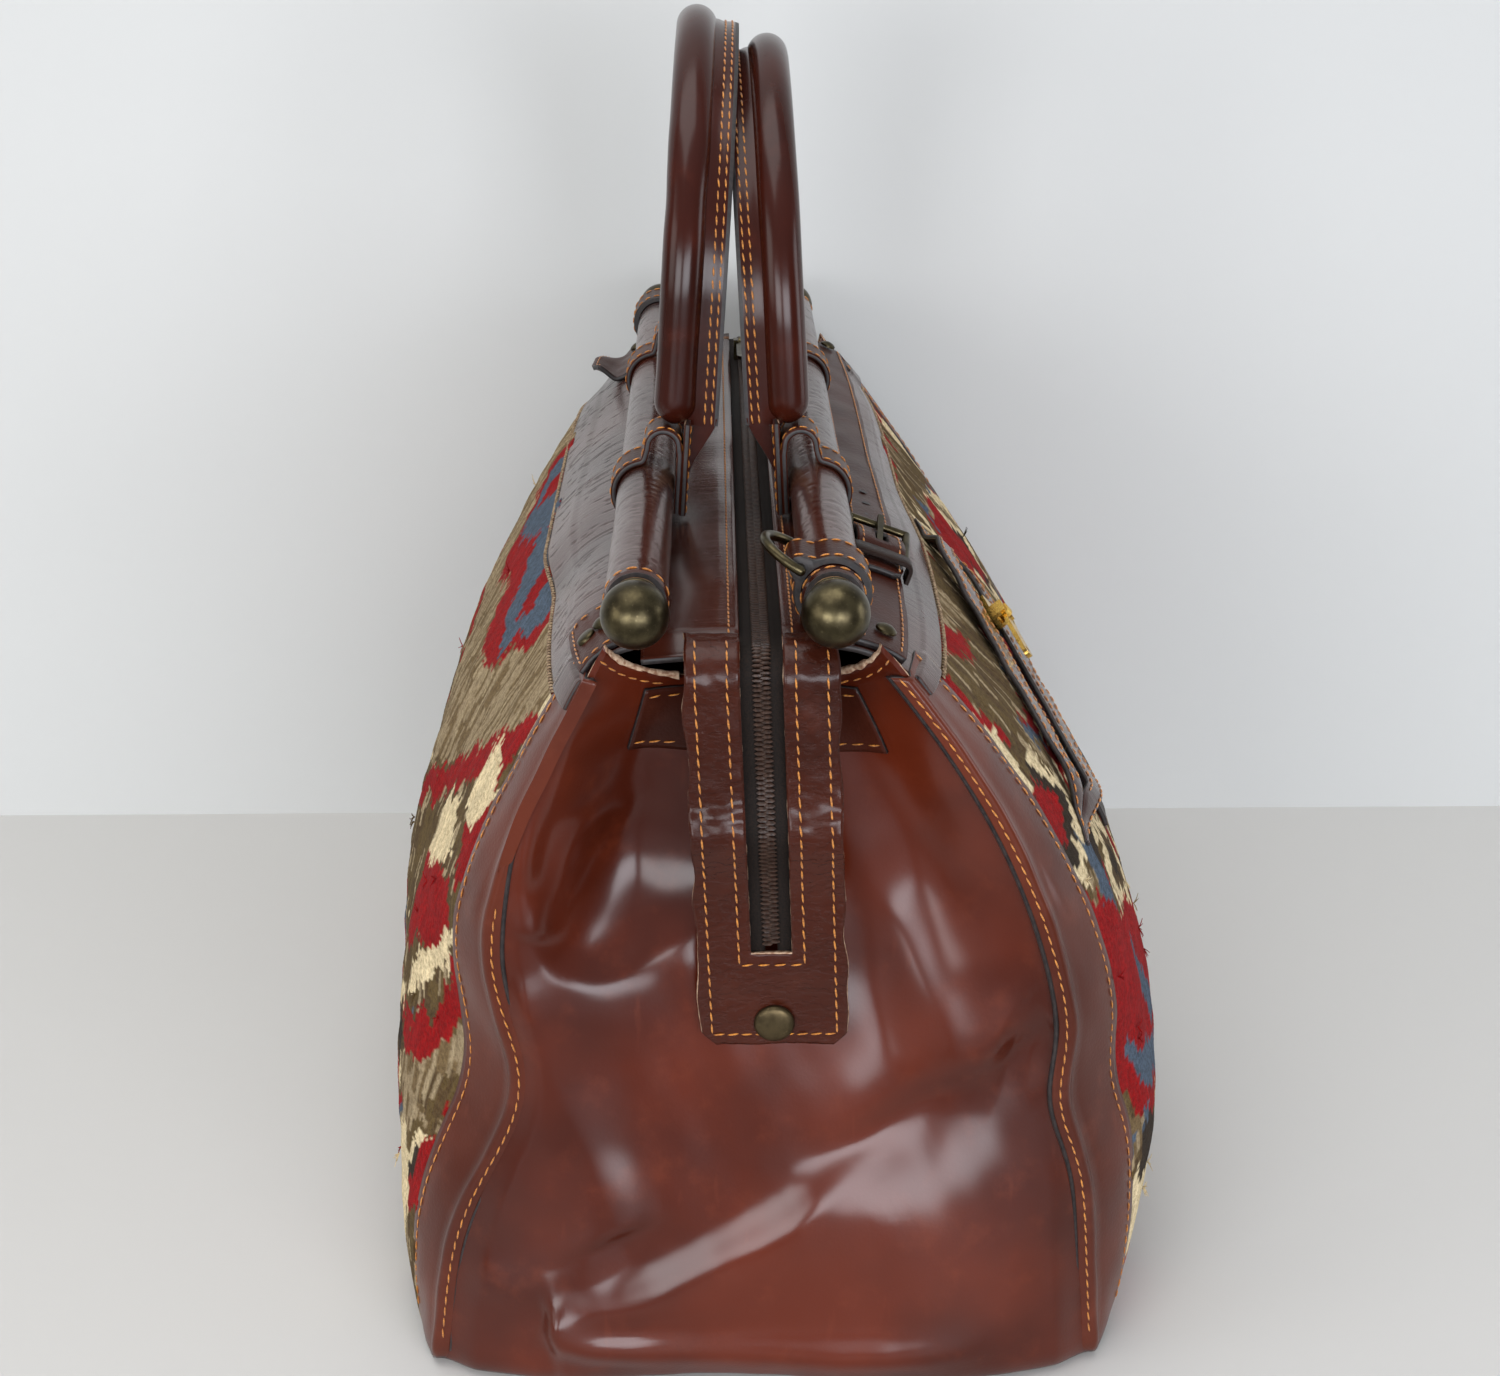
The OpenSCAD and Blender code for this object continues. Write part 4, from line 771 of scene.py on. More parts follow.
for e, word in ends:
    half, gap, slotEnd = zipLine["width"] / 2, zipLine["gap"], bendLong + slotDrop + 2
    d = np.unique(np.concatenate([np.linspace(-5.7, bendLong, 28), np.linspace(bendLong, slotEnd, 70),
                                  np.linspace(slotEnd, bendLong + tabDrop, 30)]))
    share = np.concatenate([np.linspace(-half, -gap, 16), np.linspace(-5, 5, 6), np.linspace(gap, half, 16)])
    D, A = lattice(d, share)
    left = bendLong + tabDrop - D
    narrow = np.where(left < 5, (half - 5 + left) / half, 1.0)  # cut corners at the foot
    edge = 0.5 * ripple(D, np.sign(A) * 40, 24, 51) * ramp((np.abs(A) - 20) / 8)
    lift = 1.2 + 0.35 * ripple(D, A, 30, 52) * ramp(D / 30) + 0.15 * ripple(D, A, 9, 53)
    lift = lift + 1.3 * ramp((np.abs(A) - 22) / 8) * bump((D - 150) / 30)  # curled edges
    lift = lift + 0.5 * ripple(D, A * 0.5, 8, 54) * bump((D - bendLong - 44) / 16)  # crinkles on the bow
    midA, midD = 0.5 * (A[:-1, :-1] + A[1:, 1:]), 0.5 * (D[:-1, :-1] + D[1:, 1:])
    slot = (np.abs(midA) < gap - 0.1) & (midD < slotEnd)
    addSheet(word + "ZipTab", zipAt(e, D, A * narrow + edge, lift)[0], leather - 0.2, tabLeather, rawEdge,
             slot="strap_leather", replaced=word + "_zip_tab", keep=~slot, centre=(0, e * 200, 150))
    rows = []
    for outer, foot in ((23.2, bendLong + tabDrop - 4.5), (12.0, slotEnd + 4.5)):
        d = np.linspace(2, foot, 160)
        rows += [zipAt(e, d, -outer, 1.55), zipAt(e, d, outer, 1.55)]
        rows.append(zipAt(e, foot, np.linspace(-outer, outer, 60), 1.55))
    seamStitches(word + "TabStitches", rows, *stitchSizes["tab"])

dome = [(-0.2, 6.9), (0, 7.5), (0.7, 7.6), (1.3, 7.35)]
dome += [(1.3 + 1.9 * np.cos(a), 7.2 * np.sin(a) + 0.02) for a in np.linspace(1.45, 0.01, 14)]
caps = [lathe(word + "Snap", *zipAt(e, bendLong + snapDrop, 0.0, 1.4), dome, snapBronze) for e, word in ends]
joined("snapCaps", caps, "snap_caps")

print("bars")
sleeve = dict(radius=11.2, half=240.0, stitchY=236.3, tailTop=303.4, tailDrop=8.0,
              tails=((-234, -112), (-78, 78), (112, 234)))
ball = dict(radius=12.0, centre=12.4, seatY=241.3,
            neck=((0.0, 9.2), (0.4, 9.4), (1.6, 9.4), (2.0, 9.1), (2.3, 8.4)))
for s, side in sides:
    tip = sleeve["half"] - np.array([0, 0.6])
    y = np.concatenate([-tip, np.linspace(-238.5, 238.5, 300), tip[::-1]])
    Y, A = lattice(y, circle(56))
    wave = ripple(Y * 3.0, np.cos(A) * 14, 26, 61 + s)
    crease = bump((wave - 0.15) / 0.1) * (0.4 + 0.6 * np.maximum(0, np.sin(A)))
    R = sleeve["radius"] - 0.28 * crease + 0.12 * ripple(Y, A * 11, 50, 63 + s)
    R = R - 0.5 * (np.abs(Y) > sleeve["half"] - 1)  # rounded at the cut ends
    cutEnd = np.abs(0.5 * (y[1:] + y[:-1])) > sleeve["half"] - 1
    addTube(side + "Sleeve", xyz(barX[s] + R * np.cos(A), Y, barZ + R * np.sin(A)), [yokeLeather, edgePaint],
            index=np.repeat(cutEnd.astype(int), 56), slot="yoke_leather", replaced=side + "_sleeve")
    # tail of the sleeve, sewn into the ridge
    tails = []
    for low, high in sleeve["tails"]:
        T, Y = lattice(np.linspace(0, 1, 8), np.linspace(low, high, 60))
        x = barX[s] + 0.8 * np.sin(T * np.pi) + 0.2 * ripple(Y, T * 20, 40, 65)
        points = xyz(x, Y, sleeve["tailTop"] - sleeve["tailDrop"] * T)
        tails.append(addSheet(side + "Tail", points, 1.8, yokeLeather, centre=(barX[s] + 50, 0, 300)))
    joined(side + "SleeveTail", tails)
    a = np.linspace(0, 2 * np.pi, 120)
    out = xyz(np.cos(a), 0, np.sin(a))
    rows = [(np.array([barX[s], e * sleeve["stitchY"], barZ]) + (sleeve["radius"] + 0.1) * out, out)
            for e in (-1, 1)]
    seamStitches(side + "SleeveStitches", rows, *stitchSizes["sleeve"])
    for e, word in ends:
        a = np.linspace(np.pi * 0.76, 0.0, 60)
        globe = np.stack([ball["centre"] + ball["radius"] * np.cos(a), ball["radius"] * np.sin(a) + 0.01], -1)
        lathe(side + word.title() + "Ball", (barX[s], e * ball["seatY"], barZ), (0, e, 0),
              np.concatenate([ball["neck"], globe]), oldBrass, slot="old_brass", replaced=f"{side}_{word}_ball")
for finish, nodes in ((woodFinish, ("left_dowel", "right_dowel")), (boardFinish, ("base_board",)),
                      (cordFinish, ("left_handle_core", "right_handle_core")), (snapBronze, ("snap_studs",)),
                      (oldBrass, ("near_ring", "far_ring", "buckle_frame", "buckle_prong", "zip_slider",
                                  "zip_pull", "corner_rivets")),
                      (brightBrass, ("pocket_slider", "pocket_pull"))):
    for node in nodes:
        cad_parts[node].data.materials.clear()
        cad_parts[node].data.materials.append(finish.material)

print("handles")
grip = dict(off=10.0, roll=8.5, flange=9.0, wall=4.6, foot=26.95, top={-1: 77.0, 1: 65.0}, arch=95.0,
            lean={-1: 3.8, 1: 3.0}, stitches=(11.9, 14.7))


def atHandle(s, p):  # from the handle's own frame, bar at the origin and x inward, to the bag
    t = np.radians(grip["lean"][s])
    x, y, z = p[..., 0], p[..., 1], p[..., 2]
    x, z = x * np.cos(t) + z * np.sin(t), -x * np.sin(t) + z * np.cos(t)
    return np.stack([barX[s] - s * x, y if s < 0 else -y, barZ + z], -1)


def gripPath(s, count):  # up one leg, over the arch and down; with the direction away from the arch's centre
    leg, bow = grip["top"][s] - grip["foot"], np.pi * grip["arch"]
    k = np.linspace(0, 2 * leg + bow, count)
    a = np.clip((k - leg) / grip["arch"], 0, np.pi)
    z = grip["top"][s] + grip["arch"] * np.sin(a) - np.maximum(0, leg - k) - np.maximum(0, k - leg - bow)
    return k, xyz(grip["off"], -grip["arch"] * np.cos(a), z), xyz(0, -np.cos(a), np.sin(a))


for s, side in sides:
    body = side + "_handle_body"
    k, path, out = gripPath(s, 240)
    roll = np.radians(np.linspace(22, 338, 34))
    ring = np.stack([np.cos(roll), np.sin(roll)], -1) * grip["roll"]
    tipX, thick = grip["roll"] + grip["flange"], grip["wall"] / 2
    low = [(9.2, -thick - 0.7), (11.0, -thick - 0.05), (13.5, -thick), (tipX - 1.6, -thick),
           (tipX - 0.1, -thick + 0.4)]
    section = np.array(ring.tolist() + low + [(tipX, 0)] + [(x, -y) for x, y in low[::-1]])
    place = np.arange(len(section))
    toEnd = np.minimum(k, k[-1] - k)
    close = np.sqrt(np.clip(1 - (1 - np.clip(toEnd / 9, 0, 1)) ** 2, 0.05, 1))
    soft = 1 + 0.012 * ripple(k, 0, 60, 71 + s)
    soft = soft - 0.05 * bump((k - 95 - 8 * s) / 9) + 0.03 * bump((k - 112) / 10)
    size = np.where(place < len(ring), (close * soft)[:, None], 1.0)[..., None]
    rings = path[:, None] + section[:, :1] * size * np.array([1.0, 0, 0]) + section[:, 1:] * size * out[:, None]
    tip = (place >= len(ring) + 3) & (place <= len(section) - 5)
    addTube(side + "Handle", atHandle(s, rings), [handleLeather, edgePaint],
            np.tile(tip.astype(int), len(k) - 1), body=body, slot="handle_leather",
            replaced=side + "_handle", sharp=40)
    feet = []
    for e in (-1, 1):
        t = np.linspace(0, 1, 14)[:, None]
        left, right = 18.2 - 2.8 * t, 27.4 - 10.6 * ramp(t) ** 0.8
        middle = 0.5 * (left + right)
        x = np.concatenate([left, middle, right - 0.4, right, right - 0.4, middle, left], 1)
        y = np.array([-1, -1, -1, 0, 1, 1, 1]) * (thick - 0.1) + e * grip["arch"]
        foot = atHandle(s, xyz(x, y, grip["foot"] + 3 - 27 * t))
        feet.append(addTube("foot", foot, [handleLeather, edgePaint], np.tile([0, 0, 1, 1, 0, 0, 0], 13),
                            body=body, sharp=40))
    joined(side + "HandleFeet", feet)
    rows = []
    for x in grip["stitches"]:
        for face in (-1, 1):
            line = path + np.array([x, 0, 0]) + out * face * (thick + 0.12)
            rows.append((atHandle(s, line), atHandle(s, line + out * face) - atHandle(s, line)))
    seamStitches(side + "HandleStitches", rows, *stitchSizes["strap"], body=body)

print("handle loops")
strap = dict(width=22.0, wall=2.4, stitch=8.6, ring=12.75, curl=6.3)


def smoothPath(corners, count):  # even points along a line through corners
    corners = np.asarray(corners, float)
    t = np.concatenate([[0], np.cumsum(np.linalg.norm(np.diff(corners, axis=0), axis=1))])
    k = np.linspace(0, t[-1], count)
    return np.stack([np.interp(k, t, corners[:, 0]), np.interp(k, t, corners[:, 1])], -1)


def pathNormal(path):
    d = np.gradient(path, axis=0)
    return unit(np.stack([-d[:, 1], d[:, 0]], -1))


def seenFromSide(path, y=0.0):  # a flat path of (x, z) as points
    return xyz(path[:, 0], y, path[:, 1])


def strapRings(path):  # a flat strap carried along a path seen from its side
    h, t = strap["width"] / 2, strap["wall"] / 2
    section = [(-h, -t + 0.5), (-h + 0.4, -t), (0, -t), (h - 0.4, -t), (h, -t + 0.5)]
    section = np.array(section + [(-x, -y) for x, y in section])
    return (seenFromSide(path)[:, None] + section[:, :1] * np.array([0, 1.0, 0])
            + section[:, 1:] * seenFromSide(pathNormal(path))[:, None])


strapFaces = [0, 0, 0, 0, 1, 0, 2, 2, 0, 1]  # face, cut edge, suede inside
tongue = np.stack([np.full(20, 12.85), np.linspace(-8, 17, 20)], -1)
curlTurn, barTurn = np.radians(np.linspace(-10, 190, 30)), np.radians(np.linspace(97, 325, 60))
curl = np.stack([6 + strap["curl"] * np.cos(curlTurn), 19.4 + strap["curl"] * np.sin(curlTurn)], -1)
around = strap["ring"] * np.stack([np.cos(barTurn), np.sin(barTurn)], -1)
loopPath = smoothPath(np.concatenate([tongue, curl, around]), 170)
for turn in range(6):
    loopPath[1:-1] = 0.25 * loopPath[:-2] + 0.5 * loopPath[1:-1] + 0.25 * loopPath[2:]
backPath = np.stack([np.full(30, 15.25), np.linspace(-8.5, 29, 30)], -1)
for s, side in sides:
    for e, word in ends:
        shift = np.array([0, -s * e * grip["arch"], 0])
        body, name = side + "_handle_body", f"{side}{word.title()}Loop"
        made = []
        for path in (loopPath, backPath):
            made.append(addTube(name + "Part", atHandle(s, strapRings(path) + shift),
                                [strapLeather, edgePaint, rawEdge], np.tile(strapFaces, len(path) - 1),
                                body=body, sharp=40))
        joined(name, made, f"{side}_{word}_loop")
        rows = []
        for y in (-strap["stitch"], strap["stitch"]):
            for line, up in ((seenFromSide(loopPath, y), -1.25 * seenFromSide(pathNormal(loopPath))),
                             (seenFromSide(backPath, y), np.array([1.3, 0, 0]))):
                low, high = atHandle(s, line + shift), atHandle(s, line + up + shift)
                part = slice(26, 168) if len(line) > 30 else slice(None)  # the tongue's stitches are hidden
                rows.append((high[part], (high - low)[part]))
        seamStitches(name + "Stitches", rows, *stitchSizes["loop"], body=body)

print("ring loops")
ringLoop = dict(hold=(11.606, 9.738), holdR=4.55, outer=13.95, inner=11.45, y=222.0, stitch=8.6)
for s, word in ((1, "near"), (-1, "far")):
    a = circle(96)
    delta = (a - np.radians(40) + np.pi) % (2 * np.pi) - np.pi
    reach = np.hypot(*ringLoop["hold"])
    small = ringLoop["holdR"] ** 2 - (reach * np.sin(delta)) ** 2
    held = (small > 0) & (np.abs(delta) < 1)
    bulge = np.where(held, reach * np.cos(delta) + np.sqrt(np.maximum(small, 0)), 0)
    outer = np.maximum(ringLoop["outer"], bulge)  # the band, pulled out where it holds the ring
    for turn in range(3):
        smooth = 0.25 * np.roll(outer, 1) + 0.5 * outer + 0.25 * np.roll(outer, -1)
        outer = np.maximum(ringLoop["outer"], smooth)
    y0 = -s * ringLoop["y"]
    columns = [(-11, 0.0), (-11, 0.8), (-10.5, 1.0), (0, 1.0), (10.5, 1.0), (11, 0.8), (11, 0.0)]
    rings = []
    for y, part in columns:
        R = ringLoop["inner"] + (outer - ringLoop["inner"]) * part
        rings.append(xyz(barX[s] - s * R * np.cos(a), y0 + y, barZ + R * np.sin(a)))
    addPiece(word + "RingLoop", np.stack(rings), gridQuads(7, 96, True)[:, ::s], [strapLeather, edgePaint],
             index=np.repeat([1, 1, 0, 0, 1, 1], 96), slot="strap_leather", replaced=word + "_ring_loop",
             sharp=40)
    R, b = np.append(outer, outer[0]) + 0.15, np.append(a, 2 * np.pi)
    out = xyz(-s * np.cos(b), 0, np.sin(b))
    rows = [(np.array([barX[s], y0 + y, barZ]) + R[:, None] * out, out)
            for y in (-ringLoop["stitch"], ringLoop["stitch"])]
    seamStitches(word + "RingLoopStitches", rows, *stitchSizes["ring"])

print("base")
u, y = np.linspace(-1, 1, 60), np.linspace(-bag["edgeY"], bag["edgeY"], 120)
endX, endY = u * sideHalf(1, bag["edgeY"], footZ), hl + 4 * (1 - u ** 2)
outline = np.concatenate([
    np.stack([sideHalf(1, y, footZ), y], -1), np.stack([endX, endY], -1)[::-1],
    np.stack([-sideHalf(-1, y, footZ), y], -1)[::-1], np.stack([endX, -endY], -1)])
r = np.linalg.norm(outline, axis=1, keepdims=True)
steps = [(0.0, 14.0), (0.0, 8.0), (0.8, 4.5), (2.2, 2.6), (4.0, 2.2), (4.0, 14.0)]  # height, and how far in
rings = [np.concatenate([outline * (1 - inset / r), np.full_like(r, z)], 1) for z, inset in steps]
addTube("basePanel", np.stack(rings), [strapLeather], slot="panel_leather", replaced="base_panel")

print("belt, corner tabs and keeper")
belt = dict(v=0.47, width=19.0, buckleY=-132.0, top=7.0, tail=28.5, fall=38.0, nearY=-240.3, farY=233.0,
            holes=5, holePitch=17.0, firstHole=16.0, stitch=7.2, keeper=17.0)
buckleY = belt["buckleY"]


def onYoke(s, y, v):  # a frame on the yoke: its point, along the bag, up the slope and outward
    y, v = np.asarray(y, float), np.asarray(v, float)
    along = unit(yokeLine(s, y + 4, v) - yokeLine(s, y - 4, v))
    out = unit(np.cross(along, yokeLine(s, y, v + 0.08) - yokeLine(s, y, v - 0.08))) * s
    return yokeLine(s, y, v), along, np.cross(out, along), out


def beltPoint(y, w, lift):
    span = np.linalg.norm(yokeLine(1, y, 1.0) - yokeLine(1, y, 0.0), axis=-1)
    return yokePoint(1, y, belt["v"] + w / span, lift)


def billetLift(y):  # over the buckle, down to the yoke beyond it, and over the chape on its tail
    far = 0.5 + (belt["top"] - 0.5) * (1 - ramp((y - buckleY - 2) / (belt["fall"] - 4)))
    near = leather + 0.9 + (belt["top"] - leather - 0.9) * (1 - ramp((buckleY - 5 - y) / 10))
    return np.where(y > buckleY, far, near)


def chapeLift(y):
    return 0.5 + 0 * y


for name, node, low, high, lift in (
        ("beltBillet", "belt_billet", buckleY - belt["tail"], belt["farY"], billetLift),
        ("beltChape", "belt_chape", belt["nearY"], buckleY - 1.5, chapeLift)):
    billet = node == "belt_billet"
    Y, W = lattice(np.linspace(low, high, 150), np.linspace(-0.5, 0.5, 15))
    point = np.sqrt(np.clip((Y - low) / 7, 0.0, 1.0)) if billet else 1.0
    wave = 0.35 * ripple(Y, W * 10, 26, 81) * np.abs(W) * 2
    points = beltPoint(Y, W * belt["width"] * (0.55 + 0.45 * point) + wave * 0.5,
                       lift(Y) + leather + 0.25 * ripple(Y, W * 19, 40, 82))
    midY, midW = 0.5 * (Y[1:, 1:] + Y[:-1, :-1]), 0.5 * (W[1:, 1:] + W[:-1, :-1])
    prongHole = (np.abs(midY - buckleY - 2) < 7) & (np.abs(midW) < 0.13) & billet
    addSheet(name, points, leather, strapLeather, slot="strap_leather", replaced=node, keep=~prongHole,
             centre=(0, 0, 100))
    y = np.linspace(low + 3, high - 2, 120)
    rows = [(beltPoint(y, w, lift(y) + leather + 0.2), onYoke(1, y, belt["v"])[3])
            for w in (-belt["stitch"], belt["stitch"])]
    seamStitches(name + "Stitches", rows, *stitchSizes["strap"])
# each hole is a shallow dark dish in the edge paint finish laid on the strap: painted shade in place of the
# hole's depth, with its dark cut edge
holes = []
for k in range(belt["holes"]):
    y = buckleY + belt["firstHole"] + k * belt["holePitch"]
    holes.append(lathe(f"hole{k}", beltPoint(y, 0.0, billetLift(y) + leather + 0.1), onYoke(1, y, belt["v"])[3],
                       [(0.12, 1.9), (0.18, 1.6), (0.05, 1.2), (-0.3, 0.9), (-0.3, 0.02)], edgePaint, turns=16))
joined("beltHoles", holes)
# keeper: a narrow band bent over both layers
p, along, slopeUp, out = onYoke(1, buckleY - belt["keeper"], belt["v"])
bend = [(-12.2, 0.6), (-12.1, 5.8), (-11.3, 7.4), (-9.4, 7.9)]
bend = smoothPath(bend + [(0, 8.0)] + [(-x, y) for x, y in bend[::-1]], 40)[:, None]
normal = -pathNormal(bend[:, 0])[:, None]
section = [(-5, -0.6), (-4.6, -0.9), (4.6, -0.9), (5, -0.6)]
section = np.array(section + [(-x, -y) for x, y in section])
rings = (p + bend[..., :1] * slopeUp + bend[..., 1:] * out + section[:, :1] * along
         + section[:, 1:] * (normal[..., :1] * slopeUp + normal[..., 1:] * out))
addTube("beltKeeper", rings, [patchLeather], slot="strap_leather", replaced="belt_keeper", sharp=40)

cornerTab = dict(low=-0.05, high=0.74, outer=241.3, inner=dict(near=196.0, far=168.0), rivetY=221.0,
                 rivetV=0.24, stand=dict(near=0.0, far=11.0))
for e, word in ends:
    low, high, outer, inner = cornerTab["low"], cornerTab["high"], cornerTab["outer"], cornerTab["inner"][word]
    name = f"left{word.title()}Tab"
    alongTab = lambda t: e * (outer + t * (inner - outer))
    drawn = lambda t, v: v + ramp((t - 0.8) / 0.2) * (0.4 - v) * 0.35  # narrower towards its inner end
    # the far tab stands away from the yoke along its lower edge
    stand = lambda t, v: cornerTab["stand"][word] * ramp((0.3 - v) / 0.35) * ramp((t - 0.1) / 0.5)
    T, V = lattice(np.linspace(0, 1, 50), np.linspace(low, high, 22))
    y = alongTab(T)
    lift = 0.6 + leather + 0.2 * ripple(y, V * 60, 20, 85) + stand(T, V)
    addSheet(name, yokePoint(-1, y, drawn(T, V), lift), leather - 0.2, strapLeather, slot="strap_leather",
             replaced=f"left_{word}_tab", centre=(0, 0, 100))
    t, w = np.linspace(0.06, 0.94, 40), np.linspace(low + 0.08, high - 0.06, 20)
    y = alongTab(t)
    rows = [(yokePoint(-1, y, drawn(t, v), 0.8 + leather + stand(t, v)), onYoke(-1, y, max(v, 0.1))[3])
            for v in (w[0], w[-1])]
    if e < 0:
        for y, pull in ((outer - 2.6, 0.0), (inner + 3.0, 0.25)):
            rows.append((yokePoint(-1, e * y, w + pull * (0.4 - w), 0.8 + leather),
                         onYoke(-1, e * y, np.maximum(w, 0.1))[3]))
    seamStitches(name + "Stitches", rows, *stitchSizes["fine"])
    if e < 0:
        y, v = e * cornerTab["rivetY"], cornerTab["rivetV"]
        lathe(word + "TabRivet", yokePoint(-1, y, v, leather + 0.8), onYoke(-1, y, v)[3],
              [(-1.5, 3.9), (0.2, 4.0), (0.9, 3.6), (1.3, 2.4), (1.45, 0.02)], oldBrass, turns=24,
              slot="old_brass")

print("pocket")
pocket = dict(y=-108.0, z=237.0, rise=0.41, zip=116.0, length=180.0, width=40.0, coilPitch=1.6)
slant = unit(np.array([1.0, pocket["rise"]]))
halfS, halfZip = pocket["length"] / 2 / slant[0], pocket["zip"] / 2


def pocketOn(t, w):  # a point of the side, t along the slanted zip and w across it
    return sidePoint(1, pocket["y"] + t * slant[0] - w * slant[1], pocket["z"] + t * slant[1] + w * slant[0])


pocketO = pocketOn(0, 0)
pocketA = unit(pocketOn(5, 0) - pocketOn(-5, 0))
pocketN = unit(np.cross(pocketA, pocketOn(0, 5) - pocketOn(0, -5)))
pocketB = np.cross(pocketN, pocketA)
behind = pocketO - pocketN * 200


def pocketFlat(t, w, lift):  # a point on the flat that the zip lies in
    return pocketO + xyz(t, w, lift) @ np.stack([pocketA, pocketB, pocketN])


welts, rows = [], []
for d in (-1, 1):
    T, K = lattice(np.linspace(-halfS, halfS, 130), np.linspace(0, 1, 20))
    inner = 0.2 + 6 * (1 - ramp((np.abs(T) - halfZip - 1) / 16)) + 0.5 * ripple(T, d * 9, 34, 90)
    outer = 1.6 + (pocket["width"] / 2 - 1.6) * (1 - ramp((np.abs(T) / halfS - 0.45) / 0.55))
    W = d * (inner + K * np.maximum(1, outer - inner))
    flat = 1 - ramp((np.abs(T) - halfZip - 5) / 22)
    lift = 0.5 + flat * np.maximum(0, 1.5 - (pocketOn(T, W) - pocketO) @ pocketN)
    lift = lift + 0.3 * np.sin(K * np.pi) + 0.35 * ripple(T, W, 30, 91) * ramp(K * 4)
    points = pocketOn(T, W) + pocketN * (lift + leather * 0.8)[..., None]
    welts.append(addSheet(f"welt{d}", points, leather * 0.8, yokeLeather, centre=behind))
    rows += [(points[4:-4, -3] + pocketN * 0.2, pocketN), (points[18:-18, 4] + pocketN * 0.2, pocketN)]
joined("pocketWelts", welts, "pocket_welts")
seamStitches("pocketStitches", rows, *stitchSizes["pocket"])
tapes = []
for d in (-1, 1):
    T, W = lattice(np.linspace(-halfZip, halfZip, 120), np.linspace(1.6, 8.6, 8))
    lift = 1.3 + 0.2 * np.sin(T * 2.9) * (W > 2) + 0.4 * ripple(T, W, 26, 95)
    tapes.append(addSheet(f"tape{d}", pocketFlat(T, d * W, lift), 0.7, tapeFinish, tapeFinish, centre=behind))
joined("pocketTape", tapes, "pocket_tape")
addCoil("pocketCoil", "pocket_teeth", 1 - halfZip, halfZip - 1.5,
        lambda along, across, up: pocketFlat(along, across, 1.5 + up), 0.8, 0.72, pocket["coilPitch"], 1.0)

patch = dict(y=-105, z=192, half=(25, 14), flat=(22, 11), lift=2.4)
Y, Z = lattice(patch["y"] + np.linspace(-1, 1, 40) * patch["half"][0],
               patch["z"] + np.linspace(-1, 1, 24) * patch["half"][1])
outside = (np.maximum(np.abs(Y - patch["y"]) - patch["flat"][0], 0)
           + np.maximum(np.abs(Z - patch["z"]) - patch["flat"][1], 0))
lift = patch["lift"] - 0.8 * ramp(outside / 6) + 0.25 * ripple(Y, Z, 24, 97)
addSheet("leatherPatch", sidePoint(1, Y, Z, lift), 1.9, patchLeather, slot="strap_leather",
         replaced="leather_patch")

print("camera, lights and stage")
view = dict(place=(-18.2, -1031.4, 584.4), pitch=20.93, yaw=0.9, lens=57.6)
camera = bpy.data.objects.new("camera", bpy.data.cameras.new("camera"))
camera.data.lens, camera.data.sensor_width, camera.data.sensor_fit = view["lens"], 36, "HORIZONTAL"
camera.location = np.array(view["place"]) * mm
camera.rotation_euler = (np.radians(90 - view["pitch"]), 0, -np.radians(view["yaw"]))
camera.data.clip_start, camera.data.clip_end = 0.05, 50
scene.collection.objects.link(camera)
scene.camera = camera
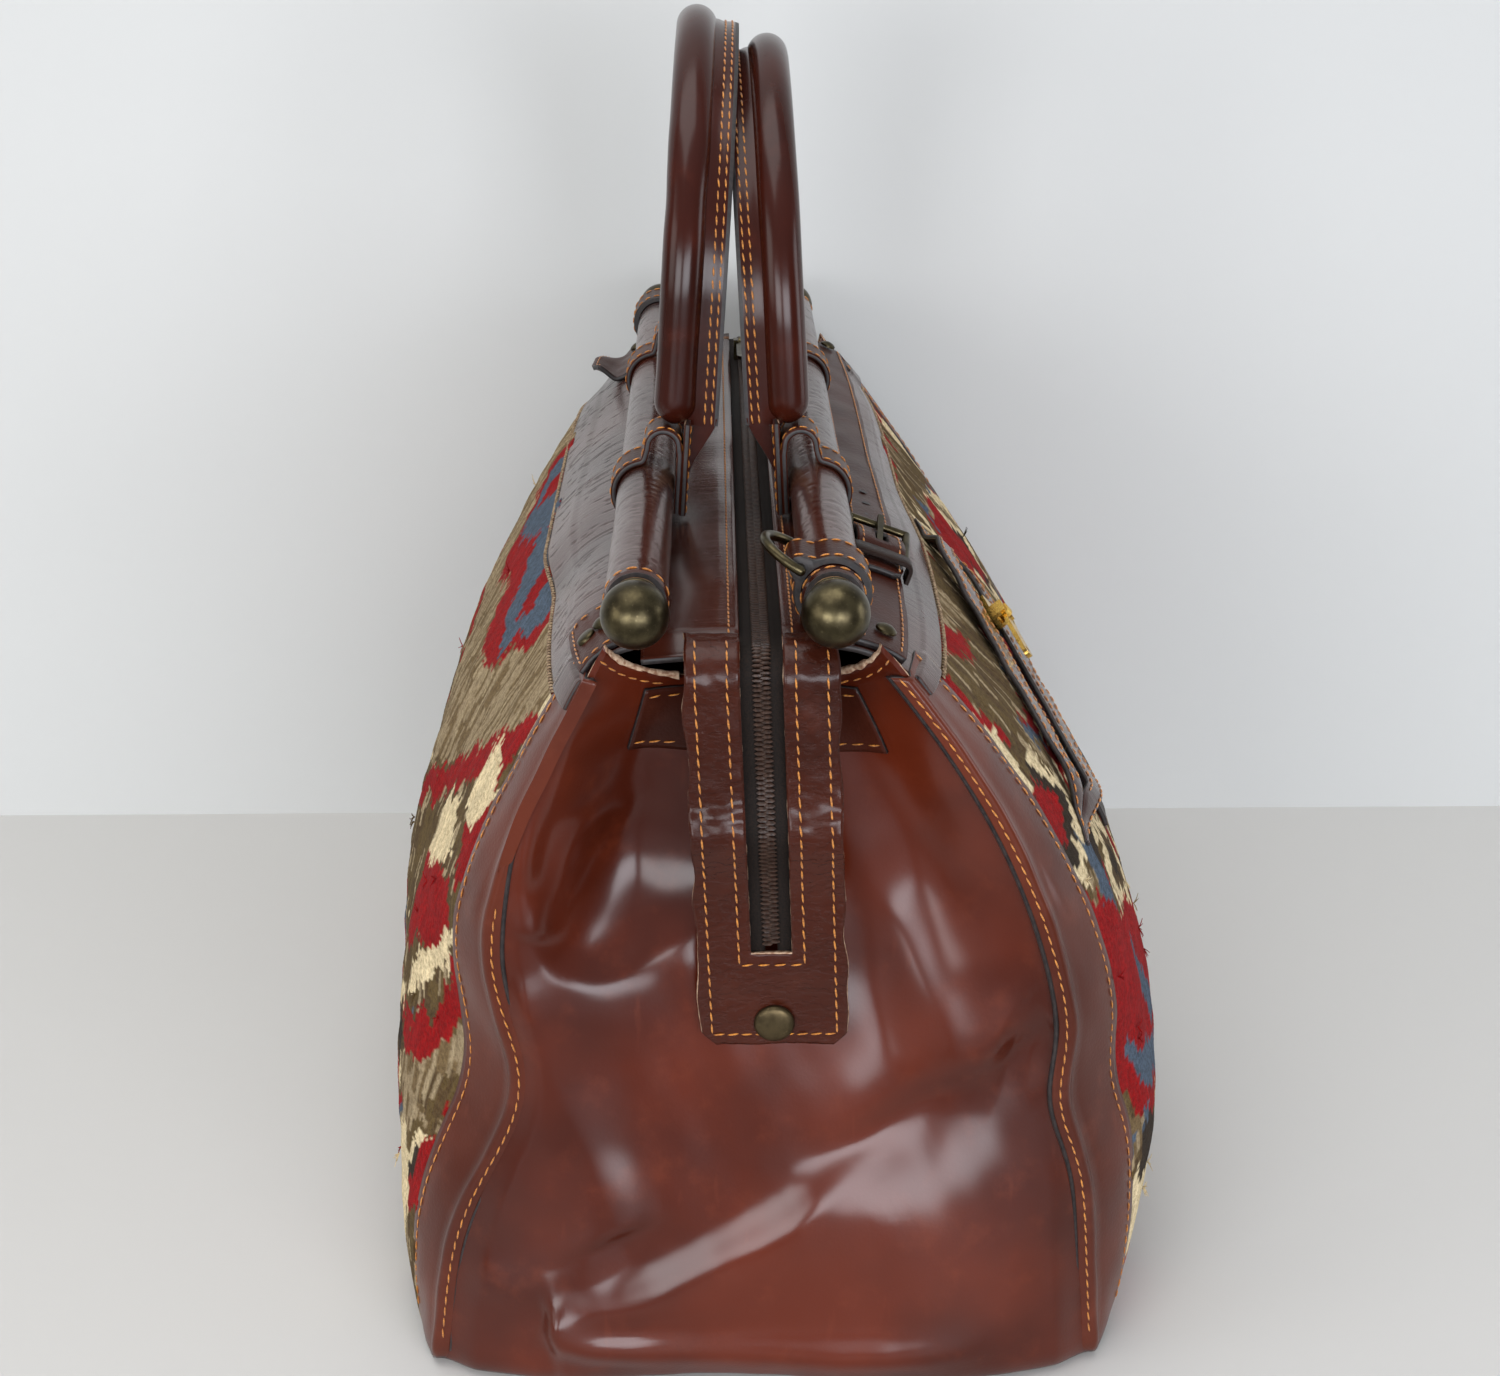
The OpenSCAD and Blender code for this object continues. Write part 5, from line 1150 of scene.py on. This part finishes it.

# front is the colour of the painted shade on the floor well in front of the bag; the next pair says where that
# shade begins and ends
stage = dict(wallY=290.0, front=tone(92, 90, 89), shadeFade=(-0.62, -0.34), floor=tone(196, 195, 192),
             wall=tone(206, 208, 207), reach=4000.0)
r, w = stage["reach"], stage["wallY"]
for name, corners in (("floor", [(-r, -r, 0), (r, -r, 0), (r, r, 0), (-r, r, 0)]),
                      ("wall", [(-r, w, -1), (r, w, -1), (r, w, r), (-r, w, r)])):
    mesh = bpy.data.meshes.new(name)
    mesh.from_pydata(np.array(corners) * mm, [], [(0, 1, 2, 3)])
    f = Finish(name, Roughness=0.55)
    colour = stage[name]
    haze = f.noise(1.5, 2).between(0.3, 0.7) * 0.25
    shade = f.mix(haze, colour, tuple(0.93 * c for c in colour[:3]) + (1.0,))
    if name == "floor":  # painted shade on the floor: darker well in front of the bag, paler round it
        ahead = f.node("ShaderNodeSeparateXYZ", None, [f.place], "Y")
        shade = f.mix(ahead.between(*stage["shadeFade"]), stage["front"], shade)
    f.wear(Base_Color=shade)
    if name == "wall":  # seen from behind it is clear, so that it hides nothing in other views
        clear = f.node("ShaderNodeBsdfTransparent")
        back = f.node("ShaderNodeNewGeometry", out="Backfacing")
        mixed = f.node("ShaderNodeMixShader", None, {0: back, 1: Field(f, f.shader.outputs[0]), 2: clear})
        f.tree.links.new(mixed.socket, f.tree.nodes["Material Output"].inputs["Surface"])
    mesh.materials.append(f.material)
    piece = bpy.data.objects.new(name, mesh)
    scene.collection.objects.link(piece)

# the room: dim at eye level, brighter overhead
room = dict(rise=(0.1, 0.9), light=(0.13, 0.62), colour=(0.93, 0.95, 1.0, 1))
scene.world = bpy.data.worlds.new("studio")
scene.world.use_nodes = True
sky, links = scene.world.node_tree.nodes, scene.world.node_tree.links
facing, split = sky.new("ShaderNodeTexCoord"), sky.new("ShaderNodeSeparateXYZ")
rise = sky.new("ShaderNodeMapRange")
for socket, value in enumerate(room["rise"] + room["light"], 1):
    rise.inputs[socket].default_value = value
links.new(facing.outputs["Generated"], split.inputs[0])
links.new(split.outputs["Z"], rise.inputs[0])
links.new(rise.outputs[0], sky["Background"].inputs[1])
sky["Background"].inputs[0].default_value = room["colour"]
# lamps: place, what they look at, size, power, colour
lamps = dict(top=((-350, -200, 1900), (0, 0, 150), (1700, 1500), 20.0, (1.0, 0.99, 0.97)),
             window=((430, -1480, 400), (40, -250, 80), (900, 460), 14.0, (0.92, 0.94, 1.0)),
             side=((1400, -150, 420), (100, -200, 120), (500, 700), 4.0, (0.95, 0.96, 1.0)),
             front=((-640, -1480, 430), (-30, -250, 90), (760, 500), 10.5, (0.96, 0.97, 1.0)),
             left=((-1600, -900, 700), (0, -100, 130), (900, 900), 7.0, (1.0, 0.97, 0.94)))
for name, (place, aim, size, power, colour) in lamps.items():
    lamp = bpy.data.lights.new(name, "AREA")
    lamp.shape, lamp.size, lamp.size_y = "RECTANGLE", size[0] * mm, size[1] * mm
    lamp.energy, lamp.color = power, colour
    holder = bpy.data.objects.new(name, lamp)
    away = unit(np.array(aim, float) - np.array(place, float))
    holder.location = np.array(place) * mm
    holder.rotation_euler = (np.arccos(-away[2]), 0, np.arctan2(-away[0], away[1]))
    scene.collection.objects.link(holder)
